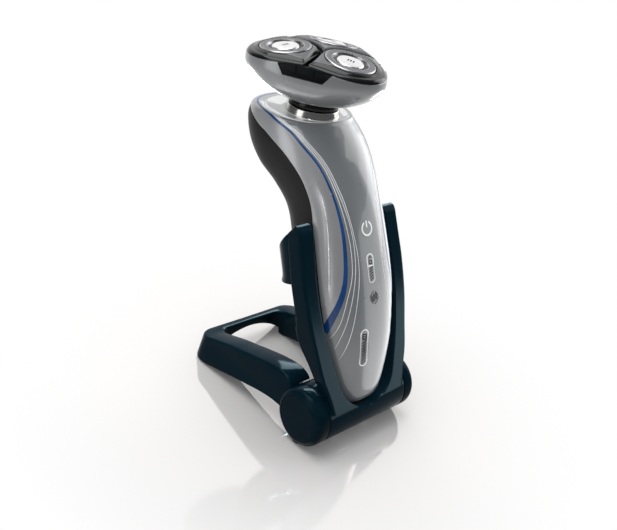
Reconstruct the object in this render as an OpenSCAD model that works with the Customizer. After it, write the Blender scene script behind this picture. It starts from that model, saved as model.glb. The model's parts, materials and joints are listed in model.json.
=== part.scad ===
// Rotary shaver with three shaving heads, standing in its tilting charging stand.
// +Z is up, -Y is the front, and the origin lies on the floor under the hinge of the stand.

/* [Stand] */
// Distance from the left end of the hinge to the right end
hinge_w = 68.4; // [64:0.2:76]
// Radius of the round hinge knuckles
knuckle_r = 14.5; // [13.5:0.1:16]
// Width of each outer knuckle
knuckle_w = 7.6; // [6.6:0.1:8.4]
// Distance from the hinge axis to the rear edge of the base ring
ring_len = 81; // [76:0.5:90]
// Height of the ring's top at its rear edge
ring_rear_h = 14; // [12:0.2:16]
// Height of the ring's top beside the hinge
ring_front_h = 30; // [28:0.2:32]
// Depth of the ring's arms, top to bottom
ring_depth = 15; // [13:0.2:16]
// Width of the ring's side arms
ring_arm_w = 11.5; // [10:0.1:12.5]
// Width of the ring's rear bar
ring_bar_w = 5; // [4:0.1:8]
// How far the rubber feet stand proud
foot_h = 0.6; // [0.4:0.1:1.2]
// Radius of the hinge pins
pin_r = 3; // [2:0.1:4]

/* [Cradle] */
// Backward lean of the cradle, in degrees
lean = 25; // [20:0.5:30]
// Height of the cradle's arms above the hinge axis
arm_top = 91; // [86:0.5:96]
// Width of each arm, seen from the front
arm_w = 8.3; // [7:0.1:9]
// Depth of each arm, front to back
arm_d = 9.4; // [8:0.1:11]
// Gap between the handle and the cradle's arms
cradle_gap = 1.4; // [1:0.1:2]
// Gap between the handle's back and the yoke
yoke_gap = 0.5; // [0.4:0.1:1]
// Wall of the yoke behind the handle
yoke_wall = 2.6; // [2:0.1:4]
// Height of the yoke's lower edge above the hinge axis
yoke_low = 64.5; // [60:0.5:68]
// How far the yoke's lower lip stands out
lip = 3; // [2:0.1:4]
// Depth of the cup's floor below the hinge axis
cup_floor = 2.5; // [2:0.1:4]

/* [Handle] */
// Length of the handle, bottom end to shoulder
handle_len = 135; // [130:0.5:140]
// Half of the handle's width at its shoulder
shoulder_half = 26; // [24:0.1:27]
// Half of the handle's width where the cradle holds it
waist_half = 23.4; // [22:0.1:24]
// Depth of the handle where the cradle holds it
handle_d = 36.5; // [34:0.1:38]
// Wall of the handle's outer panels
panel_t = 1.8; // [1.4:0.1:2.2]
// Radius of the power button
button_r = 4; // [3:0.1:5]
// Travel of the power button
button_travel = 0.5; // [0.3:0.1:0.8]
// Gap round the power button
button_gap = 0.25; // [0.15:0.05:0.4]

/* [Neck] */
// Forward bend of the neck against the handle, in degrees
neck_bend = 24; // [20:0.5:28]
// Radius of the bright neck ring
ring_r = 12.8; // [12:0.1:13.4]
// Height of the bright neck ring
ring_h = 3.2; // [2.5:0.1:4]
// Radius of the dark collar above the ring
collar_r = 12.2; // [11.5:0.1:12.4]

/* [Shaving unit] */
// Distance from the neck ring's lower edge to the heads' plane
unit_h = 29.3; // [28.5:0.1:32]
// Mean radius of the shaving unit
unit_r = 30.7; // [30:0.1:32]
// How far the three lobes stand out
lobe = 3.7; // [3:0.1:4.2]
// Wall of the bowl
bowl_t = 1.6; // [1.2:0.1:2.2]
// Distance from the middle of the unit to each shaving head
head_pitch = 17.6; // [17:0.1:18]
// Outward slope of each shaving head, in degrees
head_slope = 9; // [6:0.5:10]
// Radius of each slotted guard
guard_r = 11.75; // [11:0.05:12]
// Gap between neighbouring plates
plate_gap = 1.6; // [1.2:0.1:2.4]

/* [Hidden] */
$fn = 72;
fit = 0.3;
slip = 0.06;

// ---- shared places and helpers ----
hinge_z = knuckle_r + foot_h;
half_hinge = hinge_w / 2;
barrel_half = half_hinge - knuckle_w - fit;
face_w = -(knuckle_r + 0.9);
arm_back = face_w + arm_d;
ring_half = half_hinge - 2.1;
back_d = 11;
front_d = back_d - handle_d;
dark = "#10191e";

module lean_frame() translate([0, 0, hinge_z]) rotate([-lean, 0, 0]) children();
module rod_x(a, b, r) translate([a, 0, 0]) rotate([0, 90, 0]) cylinder(h = b - a, r = r);
module span_x(a, b) translate([a, 0, 0]) rotate([90, 0, 90]) linear_extrude(b - a) children();
module block(from, to) translate(from) cube(to - from);
module both_sides() {
    children();
    mirror([1, 0, 0]) children();
}
// A smooth curve through the points of P, with n pieces between each pair.
function mixed(a, b, c, d, t) =
    0.5 * (2 * b + (c - a) * t + (2 * a - 5 * b + 4 * c - d) * t * t + (3 * b - a - 3 * c + d) * t * t * t);
function curve(P, n) = concat(
    [for (i = [0 : len(P) - 2], j = [0 : n - 1])
        mixed(P[max(0, i - 1)], P[i], P[i + 1], P[min(len(P) - 1, i + 2)], j / n)],
    [P[len(P) - 1]]);
function turned(P) = [for (i = [len(P) - 1 : -1 : 0]) [-P[i][0], P[i][1]]];
function steps(a, b, n) = [for (i = [0 : n]) a + (b - a) * i / n];

// ---- charging stand ----
loop_front = ring_half - ring_arm_w - 1.6;
loop_rear = ring_half - ring_arm_w + 0.6;
corner = 8;
flare = 2.4;

module ring_side() {
    top = curve([[ring_len, ring_rear_h - 0.5], [66, 17.6], [55, 21.4], [48, 23.3], [40, 25.6],
                 [26, ring_front_h - 0.8]], 3);
    polygon(concat(
        [[ring_len - 2, foot_h], [ring_len + flare, foot_h + 2]], top,
        [[15, ring_front_h], [9, ring_front_h - 3.8], [4, hinge_z], [10, hinge_z - 3]],
        [[21.5, 26.8 - ring_depth], [36, 23.9 - ring_depth], [52, 20.1 - ring_depth],
         [ring_len - 13, 16.1 - ring_depth], [ring_len - 9, foot_h]]));
}
module ring_plan() {
    out = ring_half + flare;
    back = ring_len + flare;
    difference() {
        union() {
            translate([-out, -1]) square([2 * out, back + 1 - corner]);
            translate([-out + corner, back - corner - 1]) square([2 * (out - corner), corner + 1]);
            both_sides() translate([out - corner, back - corner]) circle(corner);
        }
        loop_plan();
    }
}
module loop_plan() {
    end = ring_len - ring_bar_w;
    r = 6;
    polygon([[-loop_front, -2], [loop_front, -2], [loop_rear, end - r], [-loop_rear, end - r]]);
    translate([-loop_rear + r, end - r - 1]) square([2 * (loop_rear - r), r + 1]);
    both_sides() translate([loop_rear - r, end - r]) circle(r);
}
// The ring's outer walls stand upright above its rear edge and spread towards the floor.
module flared_sides() rotate([90, 0, 0]) translate([0, 0, -100]) linear_extrude(110) polygon(
    [[-ring_half - flare, 0], [ring_half + flare, 0], [ring_half, ring_rear_h], [ring_half, 40],
     [-ring_half, 40], [-ring_half, ring_rear_h]]);
arch_r = 37;
pad = [[half_hinge - knuckle_w + 1, -3], [half_hinge - 1.2, 3]];
rear_pad = [ring_half - 6.6, ring_len - 9];
rear_pad_r = 4;
base_ring();
module base_ring() {
    color(dark) difference() {
        union() {
            intersection() {
                span_x(-ring_half, ring_half) ring_side();
                translate([0, 0, -1]) linear_extrude(40) ring_plan();
                flared_sides();
            }
            both_sides() translate([barrel_half + fit, 0, hinge_z]) rotate([0, 90, 0]) rotate_extrude()
                polygon([[0, 0], [knuckle_r, 0], [knuckle_r, knuckle_w - 2.6],
                         [knuckle_r - 0.8, knuckle_w - 1], [knuckle_r - 2.4, knuckle_w - 0.2],
                         [knuckle_r - 3, knuckle_w - 1.2], [0, knuckle_w - 1.2]]);
        }
        translate([0, 0, hinge_z]) rod_x(-barrel_half - fit, barrel_half + fit, knuckle_r + 0.7);
        translate([0, ring_len + flare + 1, 10 - arch_r]) rotate([90, 0, 0]) cylinder(h = 12, r = arch_r);
        both_sides() block([pad[0][0], pad[0][1], -1], [pad[1][0], pad[1][1], foot_h + 0.4]);
        both_sides() translate([rear_pad[0], rear_pad[1], -1])
            cylinder(h = 1.4 + foot_h, r = rear_pad_r + 0.1);
        both_sides() translate([0, 0, hinge_z]) rod_x(barrel_half - 1, barrel_half + 5, pin_r);
    }
}
knuckle_caps();
module knuckle_caps() {
    color(dark) both_sides() translate([0, 0, hinge_z])
        rod_x(half_hinge - 1.2, half_hinge - 0.3, knuckle_r - 3.1);
}
foot_pads();
module foot_pads() {
    color("#1c1c1c") both_sides() {
        block([pad[0][0] + 0.1, pad[0][1] + 0.1, 0], [pad[1][0] - 0.1, pad[1][1] - 0.1, foot_h + 0.4]);
        translate([rear_pad[0], rear_pad[1], 0]) cylinder(h = foot_h + 0.4, r = rear_pad_r);
    }
}
hinge_pins();
module hinge_pins() {
    color("#b8bcc0") both_sides() translate([0, 0, hinge_z]) rod_x(barrel_half - 5, barrel_half + 5, pin_r);
}

// ---- cradle ----
u = waist_half + cradle_gap;
INNER = [[0, -cup_floor], [0.16 * u, -cup_floor + 0.4], [0.27 * u, -cup_floor + 1.9], [0.4 * u, 1.6],
         [0.54 * u, 4.4], [0.67 * u, 9.3], [0.795 * u, 20], [0.9 * u, 31], [0.992 * u, 48],
         [1.012 * u, 64.6], [0.985 * u, 77.8], [0.94 * u, arm_top + 6]];
OUTER = [[0.99 * u, 1], [1.06 * u, 10], [0.8 * u + arm_w + 0.9, 20], [0.9 * u + arm_w, 31],
         [0.992 * u + arm_w, 48], [1.012 * u + arm_w, 64.6], [0.985 * u + arm_w, 77.8],
         [0.94 * u + arm_w, arm_top + 6]];
inner_line = curve(INNER, 4);
outer_line = curve(OUTER, 4);
top_slope = 32;
pocket = [14, 6.5];
// The charging pins: half their spacing, their depth and their radius.
pin_x = 3;
pin_w = -3.5;
contact_r = 0.8;

module on_face(from, to) translate([0, to, 0]) rotate([90, 0, 0]) linear_extrude(to - from) children();
module cup_plan() polygon(concat(turned(inner_line), inner_line));
module arm_side() {
    polygon(concat(
        [[face_w, -4], [arm_back - 4, -4], [arm_back - 4, 7], [arm_back - 2.6, 20], [arm_back - 1, 27]],
        curve([[arm_back + 1.8, 36], [arm_back + 1.5, 44], [arm_back, 50]], 3),
        [[arm_back, arm_top - 3.5 * tan(top_slope) - 2], [face_w + 3, arm_top + 0.6],
         [face_w + 1.4, arm_top - 0.4], [face_w, arm_top - 3.6]]));
}
cradle_frame();
module cradle_frame() {
    color(dark) lean_frame() difference() {
        union() {
            rod_x(-barrel_half, barrel_half, knuckle_r);
            intersection() {
                on_face(face_w - 1, arm_back + 4) polygon(concat(turned(outer_line), outer_line));
                span_x(-40, 40) arm_side();
            }
        }
        on_face(face_w - 2, 9) cup_plan();
        both_sides() rod_x(barrel_half + 0.01, half_hinge + 6, knuckle_r + 0.6);
        both_sides() rod_x(barrel_half - 5.4, barrel_half + 1, pin_r + slip);
        block([-pocket[0], -7, -knuckle_r - 1], [pocket[0], 7, -cup_floor - 2.2]);
        block([-6.2, -8, -cup_floor - 5.7], [6.2, 1, -cup_floor + 1]);
        block([-5.1, 5, -10.6], [5.1, knuckle_r + 1, -5.4]);
    }
}
function oval(a, b) = [for (t = [-4 : 4 : 184]) [a * cos(t), -5 + b * sin(t)]];
oval_out = [1.012 * u + arm_w - 1.2, back_d + yoke_gap + yoke_wall + 5];
oval_in = oval_out - [yoke_wall + 0.6, yoke_wall];
back_yoke();
module back_yoke() {
    color(dark) lean_frame() difference() {
        union() {
            translate([0, 0, yoke_low]) linear_extrude(30) polygon(oval(oval_out[0], oval_out[1]));
            for (i = [0 : 3]) translate([0, 0, yoke_low + i])
                linear_extrude(1.6) polygon(oval(oval_out[0] + 0.2, oval_out[1] + lip * (4 - i) / 4));
        }
        translate([0, 0, yoke_low - 1]) linear_extrude(32) polygon(oval(oval_in[0], oval_in[1]));
        translate([0, face_w + 3, arm_top + 0.6]) rotate([-top_slope, 0, 0])
            block([-50, -20, 0], [50, 60, 40]);
        block([-50, -40, 0], [50, arm_back + 0.05, 120]);
    }
}
contact_block();
module contact_block() {
    color("#202326") lean_frame() difference() {
        block([-6, -7.8, -cup_floor - 5.5], [6, 0.8, -cup_floor + 0.9]);
        both_sides() translate([pin_x, pin_w, -20]) cylinder(h = 40, r = contact_r);
    }
}
contact_pins();
module contact_pins() {
    color("#c9a24a") lean_frame() both_sides() translate([pin_x, pin_w, -cup_floor - 6.2])
        cylinder(h = 8.8, r = contact_r);
}
charge_board();
module charge_board() {
    color("#1f5a3a") lean_frame() {
        block([-12, -6.4, -cup_floor - 7.4], [12, 6.4, -cup_floor - 6.2]);
        block([7.5, -3, -cup_floor - 6.2], [11, 3, -cup_floor - 3.5]);
        block([-11, -4, -cup_floor - 6.2], [-7.5, 2, -cup_floor - 2.6]);
    }
}
barrel_cover();
module barrel_cover() {
    color("#161c20") lean_frame() difference() {
        intersection() {
            rod_x(-pocket[0] + 0.15, pocket[0] - 0.15, knuckle_r);
            block([-pocket[0], -6.85, -knuckle_r - 1], [pocket[0], 6.85, -cup_floor - 7.5]);
        }
        both_sides() translate([10.5, 0, -knuckle_r - 1]) cylinder(h = 1.9, r = 2.1);
    }
}
cover_screws();
module cover_screws() {
    color("#9a9da0") lean_frame() both_sides() translate([10.5, 0, -knuckle_r + 0.3]) difference() {
        cylinder(h = 0.6, r = 2);
        translate([-1.6, -0.3, -0.1]) cube([3.2, 0.6, 0.4]);
    }
}
power_inlet();
module power_inlet() {
    color("#15181a") lean_frame() {
        difference() {
            block([-5, 7.1, -10.5], [5, 12, -5.5]);
            both_sides() translate([1.9, 14, -8]) rotate([90, 0, 0]) cylinder(h = 6, r = 2);
            block([-1.9, 8, -10], [1.9, 13, -6]);
        }
        both_sides() translate([1.9, 11.4, -8]) rotate([90, 0, 0]) cylinder(h = 3.8, r = 0.6);
    }
}

// ---- the handle's outer form ----
// Each row of the profile: front [depth, height], back [depth, height], half width.
// Depths run from the hinge axis to the rear, heights run along the lean from the hinge axis.
bottom_v = -0.8;
function hv(f) = bottom_v + f * handle_len;
neck_foot = [2, 139.6 + handle_len - 135];
neck_dir = [cos(neck_bend), sin(neck_bend)];
function neck_pt(t) = neck_foot + t * neck_dir;
neck_hole = ring_r + 0.8;
PROFILE = [
    [[-7.0, hv(0)], [-2.0, hv(0)], 2.5],
    [[-10.6, hv(0.010)], [1.6, hv(0.010)], 7.6],
    [[-14.3, hv(0.036)], [5.5, hv(0.036)], 12.2],
    [[-17.7, hv(0.106)], [8.6, hv(0.106)], 16.7],
    [[front_d + 3.3, hv(0.235)], [10.2, hv(0.235)], waist_half - 2.6],
    [[front_d + 0.5, hv(0.40)], [back_d, hv(0.40)], waist_half - 0.1],
    [[front_d, hv(0.50)], [back_d, hv(0.50)], waist_half + 0.2],
    [[front_d + 0.4, hv(0.635)], [back_d, hv(0.635)], waist_half - 0.5],
    [[-24.0, hv(0.728)], [12, hv(0.738)], shoulder_half - 3.2],
    [[-22.3, hv(0.80)], [17.8, hv(0.824)], shoulder_half - 1.7],
    [[-19.6, hv(0.872)], [26, hv(0.90)], shoulder_half],
    [[-16.4, hv(0.928)], [30.6, hv(0.98)], shoulder_half + 0.2],
    [[-13.6, hv(0.965)], [31.6, hv(1.054)], shoulder_half - 0.8],
    [[-12.3, hv(0.982)], [30.2, hv(1.10)], shoulder_half - 2.2],
    [neck_pt(-14.9), neck_pt(26.3), shoulder_half - 4.4],
    [neck_pt(-neck_hole), neck_pt(neck_hole), neck_hole]
];
LAST = len(PROFILE) - 1;
function pick(i) = PROFILE[max(0, min(LAST, i))];
function row(q) = let (p = min(q, LAST - 0.0001), i = floor(p), t = p - i)
    [for (k = [0 : 2]) mixed(pick(i - 1)[k], pick(i)[k], pick(i + 1)[k], pick(i + 2)[k], t)];
roundness = 2.4;
function bulge(v) = sign(v) * pow(abs(v), 2 / roundness);
// A point of the skin: q counts the rows up the handle, a runs round it from the front,
// inset goes inwards.
// Over the flat top it goes down along the neck instead.
function skin(q, a, inset = 0) =
    let (r = row(q), mid = (r[0] + r[1]) / 2, run = r[0] - r[1], len = norm(run) / 2,
         tuck = inset * min(1, LAST - q), drop = inset * max(0, min(1, q - LAST + 2)),
         across = max(r[2] - tuck, 0.3) * bulge(sin(a)),
         along = mid + run / norm(run) * max(len - tuck, 0.3) * bulge(cos(a))
             - drop * [-sin(neck_bend), cos(neck_bend)])
    [across, along[0], along[1]];

// Where the trim and the grip's front edge run, as pairs of [row, angle from the front].
TRIM = [[4.25, 82], [4.5, 70.5], [4.9, 48], [5.25, 41], [5.65, 36], [6.25, 32.2], [6.7, 31.2], [7.15, 31.4],
        [7.7, 33.2], [8.3, 35], [9.3, 35.4], [10, 37.6], [10.6, 43.2], [11.2, 47.8], [11.9, 53],
        [12.75, 63.5], [13.35, 77], [13.95, 91], [14.1, 108], [14.3, 128], [14.6, 138], [15, 140]];
GRIP = [[0, 76], [7.3, 74.8], [8.5, 68.8], [9.1, 67.2], [9.6, 66.2], [10.1, 68.8], [10.6, 72.4],
        [11.25, 81.2], [12, 92], [12.7, 107.8], [13.1, 120], [13.35, 150], [13.45, 178], [15, 178]];
TRIM_W = [[4.4, 2], [4.9, 1.5], [5.65, 1.15], [6.25, 1], [7, 0.9], [9, 0.7], [15, 0.6]];
seam = 0.2;
// The handle's panels share one set of rows.
panel_start = 1;
trim_start = 10;
side_start = 11;
grip_stop = 35;
last_step = 40;
function places(from, to) = [for (i = [from : to]) panel_start + (LAST - panel_start) * i / last_step];
trim_row = places(trim_start, trim_start)[0];
function turn(q, d) = d / max(row(q)[2], 4) * 57.3;
function grip_at(q) = lookup(q, GRIP);
function trim_at(q) = lookup(q, TRIM);
function trim_side(q, k) = min(trim_at(q) + k * turn(q, lookup(q, TRIM_W)), grip_at(q) - turn(q, seam));
function panel_edge(q) = min(grip_at(q) - turn(q, seam),
    q < trim_row - 0.01 ? 90 : trim_side(q, -1) - turn(q, seam));

// A closed skin over rows of points; both ways round are joined up.
module tube_loft(rows) {
    m = len(rows);
    n = len(rows[0]);
    polyhedron([for (r = rows, p = r) p],
        [for (i = [0 : m - 1], j = [0 : n - 1])
            let (k = (i + 1) % m, l = (j + 1) % n)
                [i * n + j, i * n + l, k * n + l, k * n + j]], convexity = 8);
}
function patch_faces(m, n) = let (w = n + 1, o = (m + 1) * w) concat(
    [for (i = [0 : m - 1], j = [0 : n - 1]) [i * w + j, i * w + j + 1, (i + 1) * w + j + 1, (i + 1) * w + j]],
    [for (i = [0 : m - 1], j = [0 : n - 1])
        [o + i * w + j, o + (i + 1) * w + j, o + (i + 1) * w + j + 1, o + i * w + j + 1]],
    [for (i = [0 : m - 1]) [i * w, (i + 1) * w, o + (i + 1) * w, o + i * w]],
    [for (i = [0 : m - 1]) [i * w + n, o + i * w + n, o + (i + 1) * w + n, (i + 1) * w + n]],
    [for (j = [0 : n - 1]) [j, o + j, o + j + 1, j + 1]],
    [for (j = [0 : n - 1]) [m * w + j, m * w + j + 1, o + m * w + j + 1, o + m * w + j]]);
// A shell patch of the handle between two lists of angles, one pair for each row in places.
module handle_patch(places, from, to, n, thick) {
    m = len(places) - 1;
    grid = [for (i = [0 : m], j = [0 : n]) [places[i], from[i] + (to[i] - from[i]) * j / n]];
    polyhedron(
        concat([for (p = grid) skin(p[0], p[1])], [for (p = grid) skin(p[0], p[1], thick)]),
        patch_faces(m, n), convexity = 6);
}
button_v = hv(0.635);
// Each lens: middle [across, up], length and radius of its round ends.
status = [-0.5, hv(0.4985), 13.8, 2.15];
charge = [-6.3, hv(0.225), 18.2, 2.3];
lens_gap = 0.05;
module front_bar(x, v, from, to) translate([x, to, v]) rotate([90, 0, 0])
    linear_extrude(to - from) children();
module pill_bar(lens, grow, deep) {
    half = lens[2] / 2 - lens[3];
    front_bar(lens[0], lens[1], front_d - 5, front_d + deep) {
        square([2 * (lens[3] + grow), 2 * half], center = true);
        for (end = [-half, half]) translate([0, end]) circle(lens[3] + grow, $fn = 24);
    }
}
module front_shell() {
    q = places(0, last_step);
    edge = [for (p = q) panel_edge(p)];
    handle_patch(q, -edge, edge, 16, panel_t);
}
module lens(place) {
    color("#c9ced3") lean_frame() intersection() {
        front_shell();
        pill_bar(place, 0, 8);
    }
}

front_panel();
module front_panel() {
    color("#8b9095") lean_frame() difference() {
        front_shell();
        front_bar(0, button_v, front_d - 5, front_d + 5) circle(button_r + button_gap);
        pill_bar(status, lens_gap, 8);
        pill_bar(charge, lens_gap, 8);
    }
}
module side_panel(side) {
    q = places(side_start, last_step);
    near = [for (p = q) trim_side(p, 1) + turn(p, seam)];
    far = [for (p = q) max(grip_at(p) - turn(p, seam), trim_side(p, 1) + turn(p, seam + 0.4))];
    color("#a3a7aa") lean_frame() {
        if (side > 0) handle_patch(q, near, far, 5, panel_t);
        else handle_patch(q, -far, -near, 5, panel_t);
    }
}
module trim(side) {
    q = places(trim_start, last_step);
    near = [for (p = q) trim_side(p, -1)];
    far = [for (p = q) max(trim_side(p, 1), trim_side(p, -1) + turn(p, 0.4))];
    color("#1c3f86") lean_frame() {
        if (side > 0) handle_patch(q, near, far, 1, panel_t);
        else handle_patch(q, -far, -near, 1, panel_t);
    }
}
side_panel(-1);  // side_panel_left
side_panel(1);  // side_panel_right
trim(-1);  // trim_left
trim(1);  // trim_right
rear_grip();
module rear_grip() {
    q = places(0, grip_stop);
    edge = [for (p = q) grip_at(p)];
    color("#2c2b2d") lean_frame() handle_patch(q, edge, [for (e = edge) 360 - e], 12, panel_t);
}
bottom_socket();
module bottom_socket() {
    color("#232527") lean_frame() difference() {
        union() {
            translate([0, 0, bottom_v]) linear_extrude(1.3) polygon([for (a = [0 : 6 : 354])
                let (p = skin(panel_start, a, 2.1)) [p[0], p[1]]]);
            block([-4.8, -6.3, bottom_v], [4.8, -1.8, 6.5]);
        }
        both_sides() translate([pin_x, pin_w, bottom_v - 1]) cylinder(h = 3.6, r = contact_r + 0.5);
    }
}

// ---- inside the handle ----
deck = [-8.3, -6.5];
cell_r = 7;
cell_v = [hv(0.25), hv(0.613)];
board_v = [hv(0.23), hv(0.73)];
screw_x = 10;
screw_v = [hv(0.2), hv(0.685)];
screw_r = 1.1;
screw_head = 2;
module screw_places() both_sides() for (v = screw_v) translate([screw_x, 0, v]) rotate([90, 0, 0]) children();
module neck_frame() lean_frame() translate([0, neck_foot[0], neck_foot[1]])
    rotate([neck_bend, 0, 0]) children();
chassis();
module chassis() {
    side = [for (p = steps(2.4, 9, 10))
        let (r = row(p), mid = (r[0][0] + r[1][0]) / 2, len = norm(r[0] - r[1]) / 2)
        [(r[2] - panel_t - 0.5) * pow(1 - pow(abs(deck[0] - mid) / len, roundness), 1 / roundness),
         skin(p, 90)[2]]];
    color("#3a3d40") {
        lean_frame() difference() {
            union() {
                on_face(deck[0], deck[1]) polygon(concat(turned(side), side));
                both_sides() block([10, deck[0], neck_foot[1] - 39.6], [12, 2, neck_foot[1] - 11.6]);
                block([-5, deck[0], 7.2], [5, -1, 8.8]);
            }
            screw_places() cylinder(h = 10, r = screw_r);
        }
        neck_frame() difference() {
            union() {
                translate([0, 0, -4]) cylinder(h = 1.8, r = 12.8);
                translate([0, 0, -22]) cylinder(h = 19, r = 11);
            }
            translate([0, 0, -25]) cylinder(h = 30, r = 9.65);
        }
    }
}
battery_cells();
module battery_cells() {
    color("#3f7d4c") lean_frame() both_sides() translate([cell_r + 0.3, deck[1] + cell_r, cell_v[0]]) {
        cylinder(h = cell_v[1] - cell_v[0] - 1.4, r = cell_r);
        cylinder(h = cell_v[1] - cell_v[0], r = 2.6);
    }
}
circuit_board();
module circuit_board() {
    color("#1f5a3a") lean_frame() {
        difference() {
            block([-13, deck[0] - 1.6, board_v[0]], [13, deck[0], board_v[1]]);
            screw_places() cylinder(h = 20, r = screw_r + fit);
        }
        translate([0, deck[0] - 1.6, button_v]) rotate([90, 0, 0])
            cylinder(h = deck[0] - 1.6 - front_d - panel_t - 1.2 - button_travel, r = 2);
        block([-2.5, deck[0] - 4, status[1] - 5], [2.5, deck[0] - 1.6, status[1] + 5]);
        block([-9, deck[0] - 4.5, status[1] - 22], [2, deck[0] - 1.6, status[1] - 11]);
    }
}
motor();
module motor() {
    color("#8e9296") neck_frame() difference() {
        union() {
            translate([0, 0, -24]) cylinder(h = 19, r = 9.6);
            translate([0, 0, -26]) cylinder(h = 2.2, r = 3.5);
            translate([0, 0, -5.2]) cylinder(h = 1.6, r = 4);
        }
        translate([0, 0, -12]) cylinder(h = 20, r = 1.5 + slip);
    }
}
drive_spindle();
module drive_spindle() {
    color("#c7c9cb") neck_frame() translate([0, 0, -11.5]) cylinder(h = unit_h - 3, r = 1.5);
}
power_button();
module power_button() {
    color("#8b9095") lean_frame() {
        front_bar(0, button_v, front_d + 0.2, front_d + panel_t + 1) circle(button_r);
        front_bar(0, button_v, front_d + panel_t + 0.9, front_d + panel_t + 1.1) circle(2);
    }
}
lens(status);  // status_lens
lens(charge);  // charge_lens
chassis_screws();
module chassis_screws() {
    color("#a9adb0") lean_frame() screw_places() {
        translate([0, 0, -deck[1] + 0.01]) cylinder(h = 5, r = screw_r);
        translate([0, 0, -deck[1] - 1.3]) cylinder(h = 1.3, r = screw_head);
    }
}
neck_ring();
module neck_ring() {
    color("#d9d9d6") neck_frame() rotate_extrude() polygon([[9.4, -2], [ring_r - 0.2, -2], [ring_r, 0.2],
        [ring_r, ring_h - 0.4], [ring_r - 0.4, ring_h], [9.4, ring_h]]);
}
neck_seal();
module neck_seal() {
    color("#26282a") neck_frame() translate([0, 0, -2.15]) difference() {
        cylinder(h = 2, r = neck_hole - 0.35);
        translate([0, 0, -1]) cylinder(h = 4, r = ring_r + 0.02);
    }
}

// ---- shaving unit ----
seat = -unit_h + ring_h + fit;
bowl_low = -22.6;
function unit_edge(f) = unit_r + lobe * cos(3 * f);
function rim(f) = -5.4 + 1.3 * (1 - cos(3 * f));
module unit_frame() neck_frame() translate([0, 0, unit_h]) children();
module head_turn(k) rotate([0, 0, 120 * k]) children();
module head_axis(k) unit_frame() head_turn(k) translate([0, -head_pitch, 0])
    rotate([head_slope, 0, 0]) children();

neck_collar();
module neck_collar() {
    color("#17191a") unit_frame() rotate_extrude() polygon([[8, seat], [collar_r, seat],
        [collar_r, seat + 1.6], [collar_r - 1, bowl_low], [8, bowl_low]]);
}
// Bowl levels: mean radius, height, and how much of the lobes shows.
BOWL = [[unit_r + 0.5, -8.6, 0.84], [unit_r - 0.4, -11.4, 0.62], [unit_r - 2.9, -15, 0.39],
        [unit_r - 7.1, -18.4, 0.2], [unit_r - 11.7, -20.8, 0.07], [12.4, bowl_low, 0], [4, bowl_low, 0]];
function bowl_ring(level, inset, lift) = [for (f = [0 : 7.5 : 352.5])
    let (r = level[0] + lobe * level[2] * cos(3 * f) - inset) [r * sin(f), -r * cos(f), level[1] + lift]];
function rim_ring(inset) = [for (f = [0 : 7.5 : 352.5])
    let (r = unit_edge(f) - inset) [r * sin(f), -r * cos(f), rim(f)]];
wall_in = [0.8, bowl_t, bowl_t, 0.9, 0.9, 0.9, 0.9, 0];
module bowl_form() tube_loft(concat([rim_ring(0)],
    [for (l = BOWL) bowl_ring(l, 0, 0)],
        [for (i = [len(BOWL) - 1 : -1 : 0]) bowl_ring(BOWL[i], wall_in[i], i > 2 ? bowl_t : 0.4)],
    [rim_ring(wall_in[0])]));
module window_cut(grow) for (k = [0 : 2]) rotate([0, 0, 60 + 120 * k]) translate([0, -18, 0])
    rotate([90, 0, 0]) linear_extrude(20) polygon([[-12.4 - grow, 0], [12.4 + grow, 0], [12.4 + grow, -3.4],
        [9 + grow, -7.9 - grow], [-9 - grow, -7.9 - grow], [-12.4 - grow, -3.4]]);
head_bowl();
module head_bowl() {
    color("#a9acae") unit_frame() difference() {
        bowl_form();
        window_cut(0.1);
    }
}
hair_windows();
module hair_windows() {
    color("#1d2023") unit_frame() intersection() {
        bowl_form();
        window_cut(0);
    }
}
teeth = [18, 22];
pin_pitch = head_pitch - 1.2;
gear_module = 2 * pin_pitch / (teeth[0] + teeth[1]);
gear_h = [-14, -12];
backlash = 0.16;
function tooth(r, w, b) = let (root = r - 1.2 * gear_module, tip = r + 0.75 * gear_module)
    [[root, -1.35 * w], [r, -w + b], [tip, -0.45 * w], [tip, 0.45 * w], [r, w - b], [root, 1.35 * w]];
function gear_points(z) = let (r = gear_module * z / 2)
    [for (i = [0 : z - 1], p = tooth(r, 90 / z, backlash / r * 57.3))
        let (a = 360 * i / z + p[1]) p[0] * [cos(a), sin(a)]];
centre_gear();
module centre_gear() {
    color("#d8d2bd") unit_frame() difference() {
        union() {
            translate([0, 0, gear_h[0]]) linear_extrude(gear_h[1] - gear_h[0]) polygon(gear_points(teeth[0]));
            translate([0, 0, -20.6]) cylinder(h = 8, r = 3);
        }
        translate([0, 0, -25]) cylinder(h = 10.6, r = 1.85);
    }
}
gear_cover();
module gear_cover() {
    color("#2b2e31") unit_frame() difference() {
        translate([0, 0, gear_h[1] + 0.5]) linear_extrude(1.2) polygon([for (f = [0 : 7.5 : 352.5])
            let (r = unit_r - bowl_t - 1.2 + 0.57 * lobe * cos(3 * f)) [r * sin(f), -r * cos(f)]]);
        for (k = [0 : 2]) head_turn(k) translate([0, -pin_pitch, gear_h[1]]) cylinder(h = 4, r = 2);
    }
}
module drive_pin(k) {
    color("#d8d2bd") unit_frame() head_turn(k) translate([0, -pin_pitch, 0]) {
        rotate([0, 0, 180 / teeth[1]]) translate([0, 0, gear_h[0]])
            linear_extrude(gear_h[1] - gear_h[0]) polygon(gear_points(teeth[1]));
        translate([0, 0, gear_h[0] - 2]) cylinder(h = 7.8, r = 1.6);
        translate([0, 0, gear_h[1]]) cylinder(h = 7.2, r = 0.8);
    }
}
drive_pin(0);  // drive_pin_front
drive_pin(-1);  // drive_pin_left
drive_pin(1);  // drive_pin_right
float_springs();
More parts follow.
